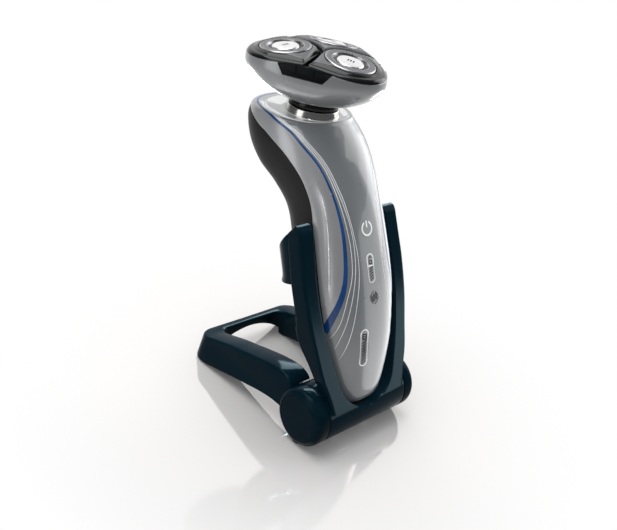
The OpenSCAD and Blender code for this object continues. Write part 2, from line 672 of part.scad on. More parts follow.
module float_springs() {
    color("#b5b8ba") unit_frame() for (k = [0 : 2]) head_turn(k) translate([0, -pin_pitch, gear_h[1] + 2])
        for (i = [0 : 2]) translate([0, 0, i * 0.5]) rotate_extrude()
            translate([2.8, 0]) circle(0.25, $fn = 16);
}

// Plate outline: how far the plate reaches from its own head's middle in the direction a.
function in_plate(p) = norm(p) < unit_edge(atan2(p[0], -p[1])) - wall_in[0] - 0.4
    && abs(p[0]) * 0.5 + p[1] * 0.866 < -plate_gap / 2;
function reach(a, lo, hi, n) = n == 0 ? lo :
    let (m = (lo + hi) / 2) in_plate([m * cos(a), m * sin(a) - head_pitch])
        ? reach(a, m, hi, n - 1) : reach(a, lo, m, n - 1);
plate_hole = guard_r + 0.15;
plate_rise = 1.2;
function hole_pt(a, z) = [plate_hole * cos(a),
    -head_pitch + plate_hole * sin(a) * cos(head_slope) - z * sin(head_slope),
    plate_hole * sin(a) * sin(head_slope) + z * cos(head_slope)];
function edge_pt(a, drop, inset) =
    let (d = reach(a, 3, 40, 16) - inset, x = d * cos(a), y = d * sin(a) - head_pitch)
    [x, y, rim(atan2(x, -y)) + plate_rise - drop];
function plate_row(t, thick) = [for (a = [0 : 6 : 354])
    let (p = hole_pt(a, -1.3 - thick), q = edge_pt(a, thick, thick), s = pow(t, 1.9))
    [p[0] + (q[0] - p[0]) * t, p[1] + (q[1] - p[1]) * t, p[2] + (q[2] - p[2]) * s]];
function skirt_row(drop, inset) = [for (a = [0 : 6 : 354]) edge_pt(a, drop, inset)];
module plate(k) {
    color("#141617") unit_frame() head_turn(k) tube_loft([
        plate_row(0, 0), plate_row(0.35, 0), plate_row(0.7, 0), plate_row(1, 0),
        skirt_row(plate_rise + 1.4, 0.8), skirt_row(plate_rise + 1.4, 1.8),
        plate_row(1, 1.2), plate_row(0.6, 1.2), plate_row(0, 1.2)]);
}
plate(0);  // plate_front
plate(-1);  // plate_left
plate(1);  // plate_right

track = [8.2, 11.2];
module guard(k) {
    color("#c3c5c6") head_axis(k) difference() {
        rotate_extrude() polygon([[0, -2], [6.6, -2], [6.9, -1.4], [track[0] - 0.4, -1.2],
            [track[0], -0.2], [track[0] + 0.4, 0], [track[1] - 0.2, 0], [guard_r - 0.1, -0.5],
            [guard_r, -1], [guard_r, -3], [track[1], -3], [track[1], -1],
            [track[0] + 0.6, -0.8], [track[0] + 0.2, -2.6], [0, -2.6]]);
        for (i = [0 : 35]) rotate([0, 0, 10 * i]) translate([track[0] + 0.5, -0.2, -0.9])
            cube([track[1] - track[0] - 0.9, 0.4, 2]);
    }
}
module cap(k) {
    color("#d8dadb") head_axis(k) rotate_extrude()
        polygon([[0, -2], [6.3, -2], [6.3, -0.7], [5.9, -0.2], [4, 0], [0, 0.1]]);
}
module cutter(k) {
    color("#b9bbbc") head_axis(k) difference() {
        union() {
            translate([0, 0, -4.6]) cylinder(h = 1.2, r = 7.4);
            translate([0, 0, -6.4]) cylinder(h = 3, r = 3.2);
            for (i = [0 : 8]) rotate([0, 0, 40 * i]) {
                translate([6.8, -0.6, -4.6]) cube([4.1, 1.2, 1]);
                translate([9, -0.35, -4.4]) cube([1.9, 0.7, 3.2]);
            }
        }
        translate([0, 0, -7]) cylinder(h = 3.4, r = 1.9);
    }
}
guard(0);  // guard_front
guard(-1);  // guard_left
guard(1);  // guard_right
cap(0);  // cap_front
cap(-1);  // cap_left
cap(1);  // cap_right
cutter(0);  // cutter_front
cutter(-1);  // cutter_left
cutter(1);  // cutter_right
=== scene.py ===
"""The looks of a rotary shaver that stands in its tilting charging stand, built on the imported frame."""

import json
import math

import bmesh
import bpy
import numpy as np
from mathutils import Euler, Matrix, Vector


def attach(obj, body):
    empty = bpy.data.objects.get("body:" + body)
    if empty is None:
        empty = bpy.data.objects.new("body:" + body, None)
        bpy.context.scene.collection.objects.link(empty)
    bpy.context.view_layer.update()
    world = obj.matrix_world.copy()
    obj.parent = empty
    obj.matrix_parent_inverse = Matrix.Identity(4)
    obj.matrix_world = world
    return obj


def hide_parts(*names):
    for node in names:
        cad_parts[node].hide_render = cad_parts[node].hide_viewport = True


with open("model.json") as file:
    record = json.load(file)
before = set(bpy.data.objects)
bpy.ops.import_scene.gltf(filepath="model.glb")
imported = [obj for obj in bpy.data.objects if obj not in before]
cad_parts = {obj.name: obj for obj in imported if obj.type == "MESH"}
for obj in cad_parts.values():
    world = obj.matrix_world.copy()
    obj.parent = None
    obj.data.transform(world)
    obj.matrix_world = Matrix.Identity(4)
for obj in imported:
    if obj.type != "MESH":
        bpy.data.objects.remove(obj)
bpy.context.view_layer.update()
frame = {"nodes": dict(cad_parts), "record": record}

# ---- the part's sizes, in millimetres and degrees, as in its source ----
MM = 0.001
RADIAN = 57.3
LEAN = 25
KNUCKLE_R, KNUCKLE_W = 14.5, 7.6
RUN_GAP = 0.3
HALF_HINGE = 34.2
FOOT_H = 0.6
HINGE_Z = KNUCKLE_R + FOOT_H
RING_LEN, RING_HALF, RING_REAR_H = 81, 32.1, 14
BARREL_HALF = HALF_HINGE - KNUCKLE_W - RUN_GAP
FACE_W = -(KNUCKLE_R + 0.9)
ARM_TOP, ARM_W, ARM_D = 91, 8.3, 9.4
ARM_BACK = FACE_W + ARM_D
HANDLE_LEN, HANDLE_D = 135, 36.5
BACK_D = 11
FRONT_D = BACK_D - HANDLE_D
WAIST, SHOULDER = 23.4, 26
PANEL_T = 1.8
SEAM = 0.2
NECK_FOOT = (2, 139.6)
NECK_BEND = 24
RING_R, RING_H, COLLAR_R = 12.8, 3.2, 12.2
UNIT_H, UNIT_R, LOBE = 29.3, 30.7, 3.7
HEAD_PITCH, HEAD_SLOPE, GUARD_R = 17.6, 9, 11.75
PLATE_GAP = 1.6
BOTTOM_V = -0.8
# Each head's third of the circle, counted from the front.
HEADS = {"front": 0, "left": -1, "right": 1}
SIDES = {"left": -1, "right": 1}


# ---- frames of reference ----
def shift(x, y, z):
    m = np.eye(4)
    m[:3, 3] = (x, y, z)
    return m


def turn(axis, degrees):
    return np.array(Matrix.Rotation(math.radians(degrees), 4, axis))


STAND = np.eye(4)
LEANING = shift(0, 0, HINGE_Z) @ turn("X", -LEAN)
NECK = LEANING @ shift(0, *NECK_FOOT) @ turn("X", NECK_BEND)
UNIT = NECK @ shift(0, 0, UNIT_H)


def head_sector(k):
    return UNIT @ turn("Z", 120 * k)


def head_axis(k):
    return head_sector(k) @ shift(0, -HEAD_PITCH, 0) @ turn("X", HEAD_SLOPE)


# ---- curves ----
def mixed(a, b, c, d, t):
    """Goes smoothly from b to c as t goes from 0 to 1, with a before them and d after."""
    bend = (2 * a - 5 * b + 4 * c - d) * t * t
    swing = (3 * b - a - 3 * c + d) * t ** 3
    return 0.5 * (2 * b + (c - a) * t + bend + swing)


def smooth_curve(points, steps):
    """A curve through the points, with this many pieces between each pair."""
    p = np.array(points, float)
    last = len(p) - 1
    out = [mixed(p[max(0, i - 1)], p[i], p[i + 1], p[min(last, i + 2)], j / steps)
           for i in range(last) for j in range(steps)]
    return np.array(out + [p[last]])


def by_length(line, n, places=None):
    """The line again, with n + 1 evenly spaced points; places says where its points lie, if not on itself."""
    places = line if places is None else places
    gone = np.r_[0, np.cumsum(np.linalg.norm(np.diff(places, axis=0), axis=1))]
    at = np.linspace(0, gone[-1], n + 1)
    return np.stack([np.interp(at, gone, line[:, k]) for k in range(line.shape[1])], -1)


def rounded(corners, radii, steps):
    """A closed polygon with each corner rounded by its own radius."""
    c = np.array(corners, float)
    n = len(c)
    radii = [radii] * n if np.isscalar(radii) else radii
    out = []
    for i in range(n):
        before, here, after = c[i - 1], c[i], c[(i + 1) % n]
        to_b, to_a = before - here, after - here
        len_b, len_a = np.linalg.norm(to_b), np.linalg.norm(to_a)
        r = min(radii[i], 0.48 * len_b, 0.48 * len_a)
        start, end = here + to_b / max(len_b, 1e-9) * r, here + to_a / max(len_a, 1e-9) * r
        middle = 0.25 * (start + end) / 2 + 0.75 * here
        for t in np.linspace(0, 1, steps + 1):
            out.append((1 - t) ** 2 * start + 2 * t * (1 - t) * middle + t * t * end)
    return np.array(out)


def with_edges(corners, radii, steps, between):
    """The rounded polygon with this many more points along each straight edge."""
    ring = rounded(corners, radii, steps)
    size = steps + 1
    out = []
    for i in range(len(corners)):
        block, after = ring[i * size:(i + 1) * size], ring[(i + 1) % len(corners) * size]
        out += list(block)
        out += [block[-1] + (after - block[-1]) * j / (between + 1) for j in range(1, between + 1)]
    return np.array(out)


def relaxed(line, times):
    """The line with its small bends smoothed away and its ends kept."""
    out = line.copy()
    for _ in range(times):
        out[1:-1] = (out[:-2] + 2 * out[1:-1] + out[2:]) / 4
    return out


# ---- meshes ----
def facing(loop, depths):
    """A loop of (across, up), once at each depth."""
    return [[(x, y, z) for x, z in loop] for y in depths]


def standing(loop, heights):
    """A loop of (across, deep), once at each height."""
    return [[(x, y, z) for x, y in loop] for z in heights]


class Shape:
    """Points and faces in one frame of reference, gathered from several forms."""

    def __init__(self, place):
        self.place, self.points, self.faces, self.uv = place, [], [], []

    def add(self, points, faces, uv=None):
        start = sum(len(p) for p in self.points)
        p = np.asarray(points, float).reshape(-1, 3)
        self.points.append(p)
        self.faces += [tuple(start + i for i in f) for f in faces]
        self.uv.append(np.zeros((len(p), 2)) if uv is None else np.asarray(uv, float).reshape(-1, 2))
        return self

    def grid(self, rows, wrap_rows=False, wrap_columns=False, caps=False, uv=None):
        """Rows of points joined by four-sided faces."""
        rows = np.asarray(rows, float)
        m, n = rows.shape[:2]
        faces = []
        for i in range(m if wrap_rows else m - 1):
            for j in range(n if wrap_columns else n - 1):
                k, l = (i + 1) % m, (j + 1) % n
                faces.append((i * n + j, i * n + l, k * n + l, k * n + j))
        if caps:
            faces += [tuple(range(n)), tuple(range((m - 1) * n, m * n))]
        return self.add(rows, faces, uv)

    def tube(self, rows):
        """Closed loops joined one to the next, with a cap at each end."""
        return self.grid(rows, wrap_columns=True, caps=True)

    def hoop(self, rows, uv=None):
        """Closed loops joined one to the next, and the last to the first."""
        return self.grid(rows, wrap_rows=True, wrap_columns=True, uv=uv)

    def lathe(self, profile, n=128):
        """The closed profile of (radius, height) turned about the frame's Z axis."""
        p = np.asarray(profile, float)
        a = np.linspace(0, 2 * math.pi, n, endpoint=False)
        r, z = p[:, :1], p[:, 1:]
        rows = np.stack([r * np.cos(a), r * np.sin(a), z + 0 * a], -1)
        return self.hoop(rows, np.stack(np.broadcast_arrays(a / math.pi / 2, r), -1))


def shade(mesh, sharp):
    mesh.shade_smooth()
    mesh.set_sharp_from_angle(angle=math.radians(sharp))


def to_object(name, shape, sharp=35):
    """An object of the shape, welded and smooth, but sharp where it bends by more than sharp degrees."""
    mesh = bpy.data.meshes.new(name)
    points = np.concatenate(shape.points) @ shape.place[:3, :3].T + shape.place[:3, 3]
    mesh.from_pydata((points * MM).tolist(), [], shape.faces)
    layer = mesh.uv_layers.new(name="UVMap")
    corners = np.zeros(len(mesh.loops), int)
    mesh.loops.foreach_get("vertex_index", corners)
    layer.data.foreach_set("uv", np.concatenate(shape.uv)[corners].astype(np.float32).ravel())
    bm = bmesh.new()
    bm.from_mesh(mesh)
    bmesh.ops.remove_doubles(bm, verts=bm.verts, dist=1e-7)
    bmesh.ops.recalc_face_normals(bm, faces=bm.faces)
    bm.to_mesh(mesh)
    bm.free()
    shade(mesh, sharp)
    obj = bpy.data.objects.new(name, mesh)
    bpy.context.scene.collection.objects.link(obj)
    return obj


def bake(obj):
    """Puts what the object's modifiers do into its mesh."""
    bpy.context.view_layer.update()
    evaluated = obj.evaluated_get(bpy.context.evaluated_depsgraph_get())
    made = bpy.data.meshes.new_from_object(evaluated)
    obj.modifiers.clear()
    obj.data = made
    return obj


def thicken(obj, thickness):
    solid = obj.modifiers.new("thickness", "SOLIDIFY")
    solid.thickness, solid.offset = thickness * MM, -1
    return bake(obj)


def cut(obj, cutters, sharp):
    """Takes the cutter shapes away from the object."""
    tools = [to_object("cutter", c) for c in cutters]
    for tool in tools:
        boolean = obj.modifiers.new("cut", "BOOLEAN")
        boolean.object, boolean.operation, boolean.solver = tool, "DIFFERENCE", "EXACT"
    bake(obj)
    for tool in tools:
        bpy.data.objects.remove(tool)
    shade(obj.data, sharp)
    return obj


def dress(obj, slot_name, body, nodes):
    """Gives a finished mesh its material, its body and the CAD nodes that it stands for."""
    obj.data.materials.clear()
    obj.data.materials.append(MATERIALS[slot_name])
    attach(obj, body)
    if nodes:
        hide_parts(*nodes)
    return obj


def piece(name, shape, slot_name, body, nodes=(), sharp=35):
    return dress(to_object(name, shape, sharp), slot_name, body, nodes)


def box_shape(place, low, high):
    (x0, y0, z0), (x1, y1, z1) = low, high
    return Shape(place).tube(standing([(x0, y0), (x1, y0), (x1, y1), (x0, y1)], (z0, z1)))


# ---- node trees ----
def add_node(tree, kind, inputs=(), output=0, **settings):
    """Makes a node with these inputs and settings, and gives back one of its outputs."""
    made = tree.nodes.new("ShaderNode" + kind)
    for key, value in settings.items():
        setattr(made, key, value)
    feed(tree, made, inputs)
    return made.outputs[output]


def feed(tree, node, inputs):
    """Sets each input to a plain value, or links it where the value is another node's output."""
    for key, value in dict(inputs).items():
        if isinstance(value, bpy.types.NodeSocket):
            tree.links.new(value, node.inputs[key])
        else:
            node.inputs[key].default_value = value


def tree_of(owner):
    owner.use_nodes = True
    return owner.node_tree


def map_range(tree, value, start, end, at_start=0.0, at_end=1.0):
    """A number that goes from at_start to at_end as value goes from start to end."""
    return add_node(tree, "MapRange", {"Value": value, "From Min": start, "From Max": end, "To Min": at_start,
                                       "To Max": at_end})


def varied(tree, cloud, low, high):
    """A number that wanders between low and high with a noise."""
    return map_range(tree, cloud, 0.3, 0.7, low, high)


def noise(tree, vector, scale, detail):
    return add_node(tree, "TexNoise", {"Vector": vector, "Scale": scale, "Detail": detail})


def two_tone(tree, factor, dark, light):
    ramp = tree.nodes.new("ShaderNodeValToRGB")
    for element, position, colour in zip(ramp.color_ramp.elements, (0.35, 0.65), (dark, light)):
        element.position, element.color = position, (*colour, 1)
    feed(tree, ramp, {"Fac": factor})
    return ramp.outputs["Color"]


def worn_edges(tree, colour, light, wear):
    """The colour, a little paler where the mesh has an outward edge."""
    edge = map_range(tree, add_node(tree, "NewGeometry", output="Pointiness"), 0.53, 0.62, 0.0, wear)
    bare = (*[min(1, 0.25 + 1.2 * c) for c in light], 1)
    return add_node(tree, "Mix", {"Factor": edge, "A": colour, "B": bare}, "Result", data_type="RGBA")


# ---- materials ----
def finish_of(name, dark, light, rough, metallic=0.0, grain=900, grain_depth=0.004, mottle=60, coat=0.0,
              coat_rough=0.05, specular=0.5, spun=0.0, wear=0.06):
    """A moulded, lacquered or turned finish: its colour and roughness vary, its grain is in the bump and
    its edges are a little worn."""
    material = bpy.data.materials.new(name)
    tree = tree_of(material)
    spot = add_node(tree, "TexCoord", output="Object")
    cloud, fine = noise(tree, spot, mottle, 4), noise(tree, spot, grain, 2)
    if spun:
        turned = {"Vector": add_node(tree, "TexCoord", output="UV"), "Scale": (2.0, spun, 1.0)}
        fine = noise(tree, add_node(tree, "Mapping", turned), 1.0, 3)
    colour = two_tone(tree, fine if spun else cloud, dark, light)
    if wear:
        colour = worn_edges(tree, colour, light, wear)
    grained = add_node(tree, "Bump", {"Strength": 1.0, "Distance": grain_depth * MM, "Height": fine})
    feed(tree, tree.nodes["Principled BSDF"], {
        "Metallic": metallic, "Specular IOR Level": specular, "Coat Weight": coat,
        "Coat Roughness": coat_rough, "Base Color": colour, "Normal": grained,
        "Roughness": varied(tree, cloud, rough * 0.85, rough * 1.15)})
    return material


def look(dark, light, rough, metallic=0.0, **more):
    return dict(dark=dark, light=light, rough=rough, metallic=metallic, **more)


# What several finishes have in common.
PAINT = dict(grain=2600, grain_depth=0.0008)
SMOKED = dict(specular=0.3, wear=0.01)
FINISHES = {
    # the charging stand
    "stand_gloss": look((0.0015, 0.0078, 0.0125), (0.0024, 0.0108, 0.0168), 0.13, grain=300,
                        grain_depth=0.0005, mottle=25, specular=0.035, wear=0.006),
    "foot_rubber": look((0.012, 0.012, 0.012), (0.022, 0.022, 0.021), 0.75, grain_depth=0.02),
    "black_plastic": look((0.008, 0.009, 0.010), (0.014, 0.015, 0.016), 0.28, grain_depth=0.006),
    "contact_brass": look((0.60, 0.42, 0.16), (0.78, 0.58, 0.26), 0.22, 1.0),
    # the handle
    "grey_metallic": look((0.175, 0.187, 0.195), (0.20, 0.212, 0.22), 0.30, 0.2, mottle=18, coat=1.0,
                          coat_rough=0.03, **PAINT),
    "silver_metallic": look((0.335, 0.338, 0.35), (0.375, 0.378, 0.39), 0.27, 0.4, mottle=16, coat=0.5,
                            **PAINT),
    "blue_trim": look((0.005, 0.036, 0.13), (0.010, 0.062, 0.22), 0.16, grain=300, grain_depth=0.0006,
                      mottle=40, coat=0.5, wear=0.02),
    "grip_rubber": look((0.005, 0.0042, 0.0043), (0.009, 0.0078, 0.0080), 0.5, grain=1500, grain_depth=0.02,
                        mottle=70, specular=0.3, wear=0.02),
    "lens_clear": look((0.26, 0.265, 0.275), (0.29, 0.295, 0.305), 0.18, 0.15, coat=0.5),
    "bright_chrome": look((0.60, 0.575, 0.545), (0.74, 0.715, 0.68), 0.17, 1.0, grain_depth=0.0008,
                          wear=0.02),
    "print_white": look((0.74, 0.75, 0.76), (0.84, 0.85, 0.86), 0.4, wear=0),
    "line_silver": look((0.66, 0.67, 0.68), (0.76, 0.77, 0.78), 0.3, wear=0),
    "print_dark": look((0.016, 0.017, 0.019), (0.026, 0.027, 0.030), 0.6, specular=0.08, wear=0),
    # the shaving unit
    "bowl_silver": look((0.27, 0.282, 0.288), (0.30, 0.312, 0.318), 0.26, 0.45, mottle=16, coat=0.4,
                        coat_rough=0.06, **PAINT),
    "collar_gloss": look((0.006, 0.006, 0.007), (0.010, 0.010, 0.011), 0.12, **SMOKED),
    "window_dark": look((0.006, 0.008, 0.009), (0.010, 0.012, 0.014), 0.12, **SMOKED),
    "plate_black": look((0.004, 0.0045, 0.005), (0.007, 0.0075, 0.008), 0.14, grain=400, grain_depth=0.0006,
                        specular=0.4, wear=0.01),
    "plate_silver": look((0.11, 0.113, 0.117), (0.165, 0.169, 0.173), 0.38, 0.6, grain=4200, grain_depth=0.01,
                         mottle=2600),
    "guard_steel": look((0.34, 0.34, 0.35), (0.50, 0.50, 0.51), 0.30, 1.0, spun=9),
    "cap_steel": look((0.80, 0.80, 0.80), (0.96, 0.96, 0.96), 0.30, 1.0, spun=14),
    # what lies inside
    "pin_steel": look((0.48, 0.49, 0.50), (0.62, 0.63, 0.64), 0.3, 1.0),
    "board_green": look((0.012, 0.10, 0.05), (0.03, 0.16, 0.08), 0.35),
    "inner_plastic": look((0.04, 0.042, 0.045), (0.06, 0.062, 0.065), 0.5),
    "cell_wrap": look((0.04, 0.18, 0.07), (0.06, 0.23, 0.09), 0.3),
    "gear_plastic": look((0.58, 0.54, 0.43), (0.70, 0.66, 0.54), 0.45),
}
MATERIALS = {name: finish_of(name, **values) for name, values in FINISHES.items()}
for entry in frame["record"]["subparts"]:
    plain = frame["nodes"][entry["node"]]
    plain.data.materials.clear()
    plain.data.materials.append(MATERIALS[entry["material_slot"]])

# ---- charging stand: the ring on the table ----
LOOP_FRONT, LOOP_REAR = 19, 21.2
OUT_R, IN_R, BAR = 8, 6, 5
FLARE = 2.4
ARCH_R, ARCH_TOP = 37, 10
# The ring's top and underside, as (distance back, height).
TOP_LINE = smooth_curve([(4, 15.1), (9, 26.2), (15, 30), (26, 29.2), (40, 25.6), (48, 23.3), (55, 21.4),
                         (66, 17.6), (74, 14.9), (RING_LEN, RING_REAR_H - 0.6)], 6)
UNDER_LINE = smooth_curve([(4, 13.2), (10, 12.1), (21.5, 11.8), (36, 8.9), (52, 5.1), (66, 1.6), (71, FOOT_H),
                           (RING_LEN + 4, FOOT_H)], 6)


def ring_stations():
    """Pairs of plan points, inner and outer, round the ring from its left front end to its right one."""
    end, corner = RING_LEN - BAR, RING_LEN - OUT_R
    side = np.linspace(5, end - IN_R, 40)
    side_out = np.linspace(5, corner, 40)
    inner = [(-np.interp(y, (-2, end - IN_R), (LOOP_FRONT, LOOP_REAR)), y) for y in side]
    outer = [(-RING_HALF, y) for y in side_out]
    for t in np.radians(np.linspace(0, 90, 16)[1:]):
        inner.append((-LOOP_REAR + IN_R - IN_R * math.cos(t), end - IN_R + IN_R * math.sin(t)))
        outer.append((-RING_HALF + OUT_R - OUT_R * math.cos(t), corner + OUT_R * math.sin(t)))
    for s in np.linspace(0, 1, 13)[1:]:
        inner.append((-(LOOP_REAR - IN_R) * (1 - s), end))
        outer.append((-(RING_HALF - OUT_R) * (1 - s), RING_LEN))
    mirror = lambda line: line + [(-x, y) for x, y in line[-2::-1]]
    return np.array(mirror(inner)), np.array(mirror(outer))


def arch_height(p):
    """Height of the arch under the rear bar at a point of the plan; elsewhere there is none."""
    if p[1] <= RING_LEN - BAR - 3:
        return 0
    return ARCH_TOP - ARCH_R + math.sqrt(max(ARCH_R ** 2 - p[0] ** 2, 0))


def ring_sections():
    rows = []
    for i, o in zip(*ring_stations()):
        away = (o - i) / np.linalg.norm(o - i)
        top_in, top_out = [np.interp(p[1], *TOP_LINE.T) for p in (i, o)]
        low_in, low_out = [max(np.interp(p[1], *UNDER_LINE.T), arch_height(p)) for p in (i, o)]
        bend = min(RING_REAR_H, top_out - 2)
        flared = [(*(o + away * FLARE * max(0, 1 - z / RING_REAR_H)), z)
                  for z in (top_out, bend, (bend + low_out) / 2, low_out)]
        rows.append(rounded([(*i, top_in), *flared, (*i, low_in)], [1.1, 1.5, 3, 1, 0.9, 0.8], 5))
    return rows


def knuckle_profile():
    """Radius and height of an outer knuckle, whose end is chamfered round a sunk disc."""
    outline = [(0, 0), (KNUCKLE_R, 0), (KNUCKLE_R, KNUCKLE_W - 2.6), (KNUCKLE_R - 0.8, KNUCKLE_W - 1),
               (KNUCKLE_R - 2.6, KNUCKLE_W - 0.25), (KNUCKLE_R - 2.95, KNUCKLE_W - 0.3),
               (KNUCKLE_R - 3, KNUCKLE_W - 1.2), (0, KNUCKLE_W - 1.2)]
    return rounded(outline, [0, 0.4, 1.2, 0.9, 0.2, 0.1, 0.1, 0], 5)


def hinge_end(side):
    """The hinge axis pointing out through one end, starting where the outer knuckle starts."""
    return shift(side * (BARREL_HALF + RUN_GAP), 0, HINGE_Z) @ turn("Y", 90 * side)


def build_base():
    ring = to_object("base_ring_shell", Shape(STAND).tube(ring_sections()), 40)
    room_r, room_w = KNUCKLE_R + 0.7, 2 * (BARREL_HALF + RUN_GAP)
    barrel_space = Shape(shift(-BARREL_HALF - RUN_GAP, 0, HINGE_Z) @ turn("Y", 90))
    barrel_space.lathe([(0, 0), (room_r, 0), (room_r, room_w), (0, room_w)])
    cut(ring, [barrel_space], 40)
    dress(ring, "stand_gloss", "stand_base", ["base_ring"])
    for name, side in SIDES.items():
        knuckle = Shape(hinge_end(side)).lathe(knuckle_profile(), 160)
        piece("knuckle_" + name, knuckle, "stand_gloss", "stand_base")
        cap_r, sunk = KNUCKLE_R - 3.02, KNUCKLE_W - 1.2
        dome = [(0, sunk), (cap_r, sunk), (cap_r, sunk + 0.9), (cap_r * 0.8, sunk + 0.97),
                (cap_r * 0.4, sunk + 1.02), (0, sunk + 1.04)]
        cap = Shape(hinge_end(side)).lathe(rounded(dome, [0, 0, 0.5, 1, 1, 0], 4), 128)
        made = piece("knuckle_cap_" + name, cap, "stand_gloss", "stand_base")
        if side > 0:
            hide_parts("knuckle_caps")


def build_pads():
    """Four thin rubber feet, two under the knuckles and two under the rear corners."""
    shape = Shape(STAND)
    for side in SIDES.values():
        front = [(side * x, y) for x, y in ((28, -1.8), (32.4, -1.8), (32.4, 1.8), (28, 1.8))]
        shape.tube(standing(rounded(front, 0.9, 4), (0, 0.15, FOOT_H + 0.3)))
        turns = np.linspace(0, 2 * math.pi, 33)[:-1]
        rear = [(side * 25.5 + 4 * math.cos(t), 72 + 4 * math.sin(t)) for t in turns]
        shape.tube(standing(rounded(rear, 0.3, 1), (0, 0.15, FOOT_H)))
    piece("rubber_feet", shape, "foot_rubber", "stand_base", ["foot_pads"])


# ---- charging stand: the cradle ----
# U is half the opening between the arms. The arms' inner and outer lines are (across, height).
U = WAIST + 1.4
CUP_FLOOR = 2.5
INNER = smooth_curve([(0, -CUP_FLOOR), (0.16 * U, -CUP_FLOOR + 0.4), (0.27 * U, -CUP_FLOOR + 1.9),
                      (0.4 * U, 1.6), (0.54 * U, 4.4), (0.67 * U, 9.3), (0.795 * U, 20), (0.9 * U, 31),
                      (0.992 * U, 48), (1.012 * U, 64.6), (0.985 * U, 77.8), (0.94 * U, ARM_TOP + 6)], 8)
OUTER = smooth_curve([(0.99 * U, 1), (1.06 * U, 10), (0.8 * U + ARM_W + 0.9, 20), (0.9 * U + ARM_W, 31),
                      (0.992 * U + ARM_W, 48), (1.012 * U + ARM_W, 64.6), (0.985 * U + ARM_W, 77.8),
                      (0.94 * U + ARM_W, ARM_TOP + 6)], 8)
# The arms' back, as (height, depth).
BACK_LINE = smooth_curve([(-4, ARM_BACK - 4), (7, ARM_BACK - 4), (20, ARM_BACK - 2.6), (27, ARM_BACK - 1),
                          (36, ARM_BACK + 1.8), (44, ARM_BACK + 1.5), (50, ARM_BACK), (70, ARM_BACK),
                          (ARM_TOP + 6, ARM_BACK)], 6)
TOP_SLOPE = math.tan(math.radians(32))
CREST_W = FACE_W + 3
ARM_EDGE = 0.6


def arm_limit(w):
    """Height of an arm's top over the depth w: a bevel in front, then a slope down to the back."""
    front = np.interp(w, (FACE_W, FACE_W + 1.4, CREST_W), (ARM_TOP - 3.6, ARM_TOP - 0.4, ARM_TOP + 0.6))
    return np.where(w < CREST_W, front, ARM_TOP + 0.6 - (w - CREST_W) * TOP_SLOPE)


def arm_rows(side):
    inner = INNER[INNER[:, 1] > 0.9]
    inner = by_length(inner[inner[:, 1] <= ARM_TOP + 2], 110)
    outer = by_length(OUTER[OUTER[:, 1] <= ARM_TOP + 2], 110)
    rows = []
    for i, o in zip(inner, outer):
        low, high = FACE_W, [np.interp(p[1], *BACK_LINE.T) for p in (i, o)]
        corners = [(i[0], low, i[1]), (o[0], low, o[1]), (o[0], high[1], o[1]), (i[0], high[0], i[1])]
        rows.append(with_edges(corners, [0.8, 1.2, 1.2, 0.8], 5, 12))
    rows = np.array(rows)
    # Above the waist the heights are drawn in so that the last row lies on the sloping top.
    start = 60.0
    share = np.clip((rows[:, :, 2] - start) / (rows[-1, :, 2] - start), 0, 1)
    top = arm_limit(rows[:, :, 1]) - ARM_EDGE
    rows[:, :, 2] = np.where(rows[:, :, 2] > start, start + share * (top - start), rows[:, :, 2])
    centre = rows[-1].mean(0)
    out = rows[-1] - centre
    size = np.maximum(np.linalg.norm(out[:, :2], axis=1, keepdims=True), 1e-6)
    rolled = [(30, 1), (60, 1)] + [(90, s) for s in (1, 0.93, 0.86, 0.78, 0.7, 0.6, 0.5, 0.38, 0.25, 0.1)]
    ends = []
    for t, scale in rolled:
        t = math.radians(t)
        ring = centre + (out - out / size * ARM_EDGE * (1 - math.cos(t))) * scale
        ring[:, 2] = arm_limit(ring[:, 1]) - ARM_EDGE * (1 - math.sin(t))
        ends.append(ring)
    rows = np.concatenate([rows, ends])
    rows[:, :, 0] *= side
    return rows


def build_cradle():
    barrel = Shape(LEANING @ turn("Y", 90))
    profile = [(0, -BARREL_HALF), (KNUCKLE_R, -BARREL_HALF), (KNUCKLE_R, BARREL_HALF), (0, BARREL_HALF)]
    made = to_object("cradle_barrel", barrel.lathe(rounded(profile, [0, 0.7, 0.7, 0], 5), 160), 40)
    cup_line = np.array([(-x, v) for x, v in INNER[:0:-1]] + [(x, v) for x, v in INNER])
    cup = Shape(LEANING).tube(facing(cup_line, (FACE_W - 2, 9)))
    pocket = box_shape(LEANING, (-14, -7, -KNUCKLE_R - 1), (14, 7, -CUP_FLOOR - 2.2))
    contact = box_shape(LEANING, (-6.2, -8, -CUP_FLOOR - 5.7), (6.2, 1, -CUP_FLOOR + 1))
    inlet = box_shape(LEANING, (-5.1, 5, -10.6), (5.1, KNUCKLE_R + 1, -5.4))
    cut(made, [cup, pocket, contact, inlet], 40)
    dress(made, "stand_gloss", "cradle", ["cradle_frame"])
    for name, side in SIDES.items():
        piece("cradle_arm_" + name, Shape(LEANING).tube(arm_rows(side)), "stand_gloss", "cradle", sharp=50)


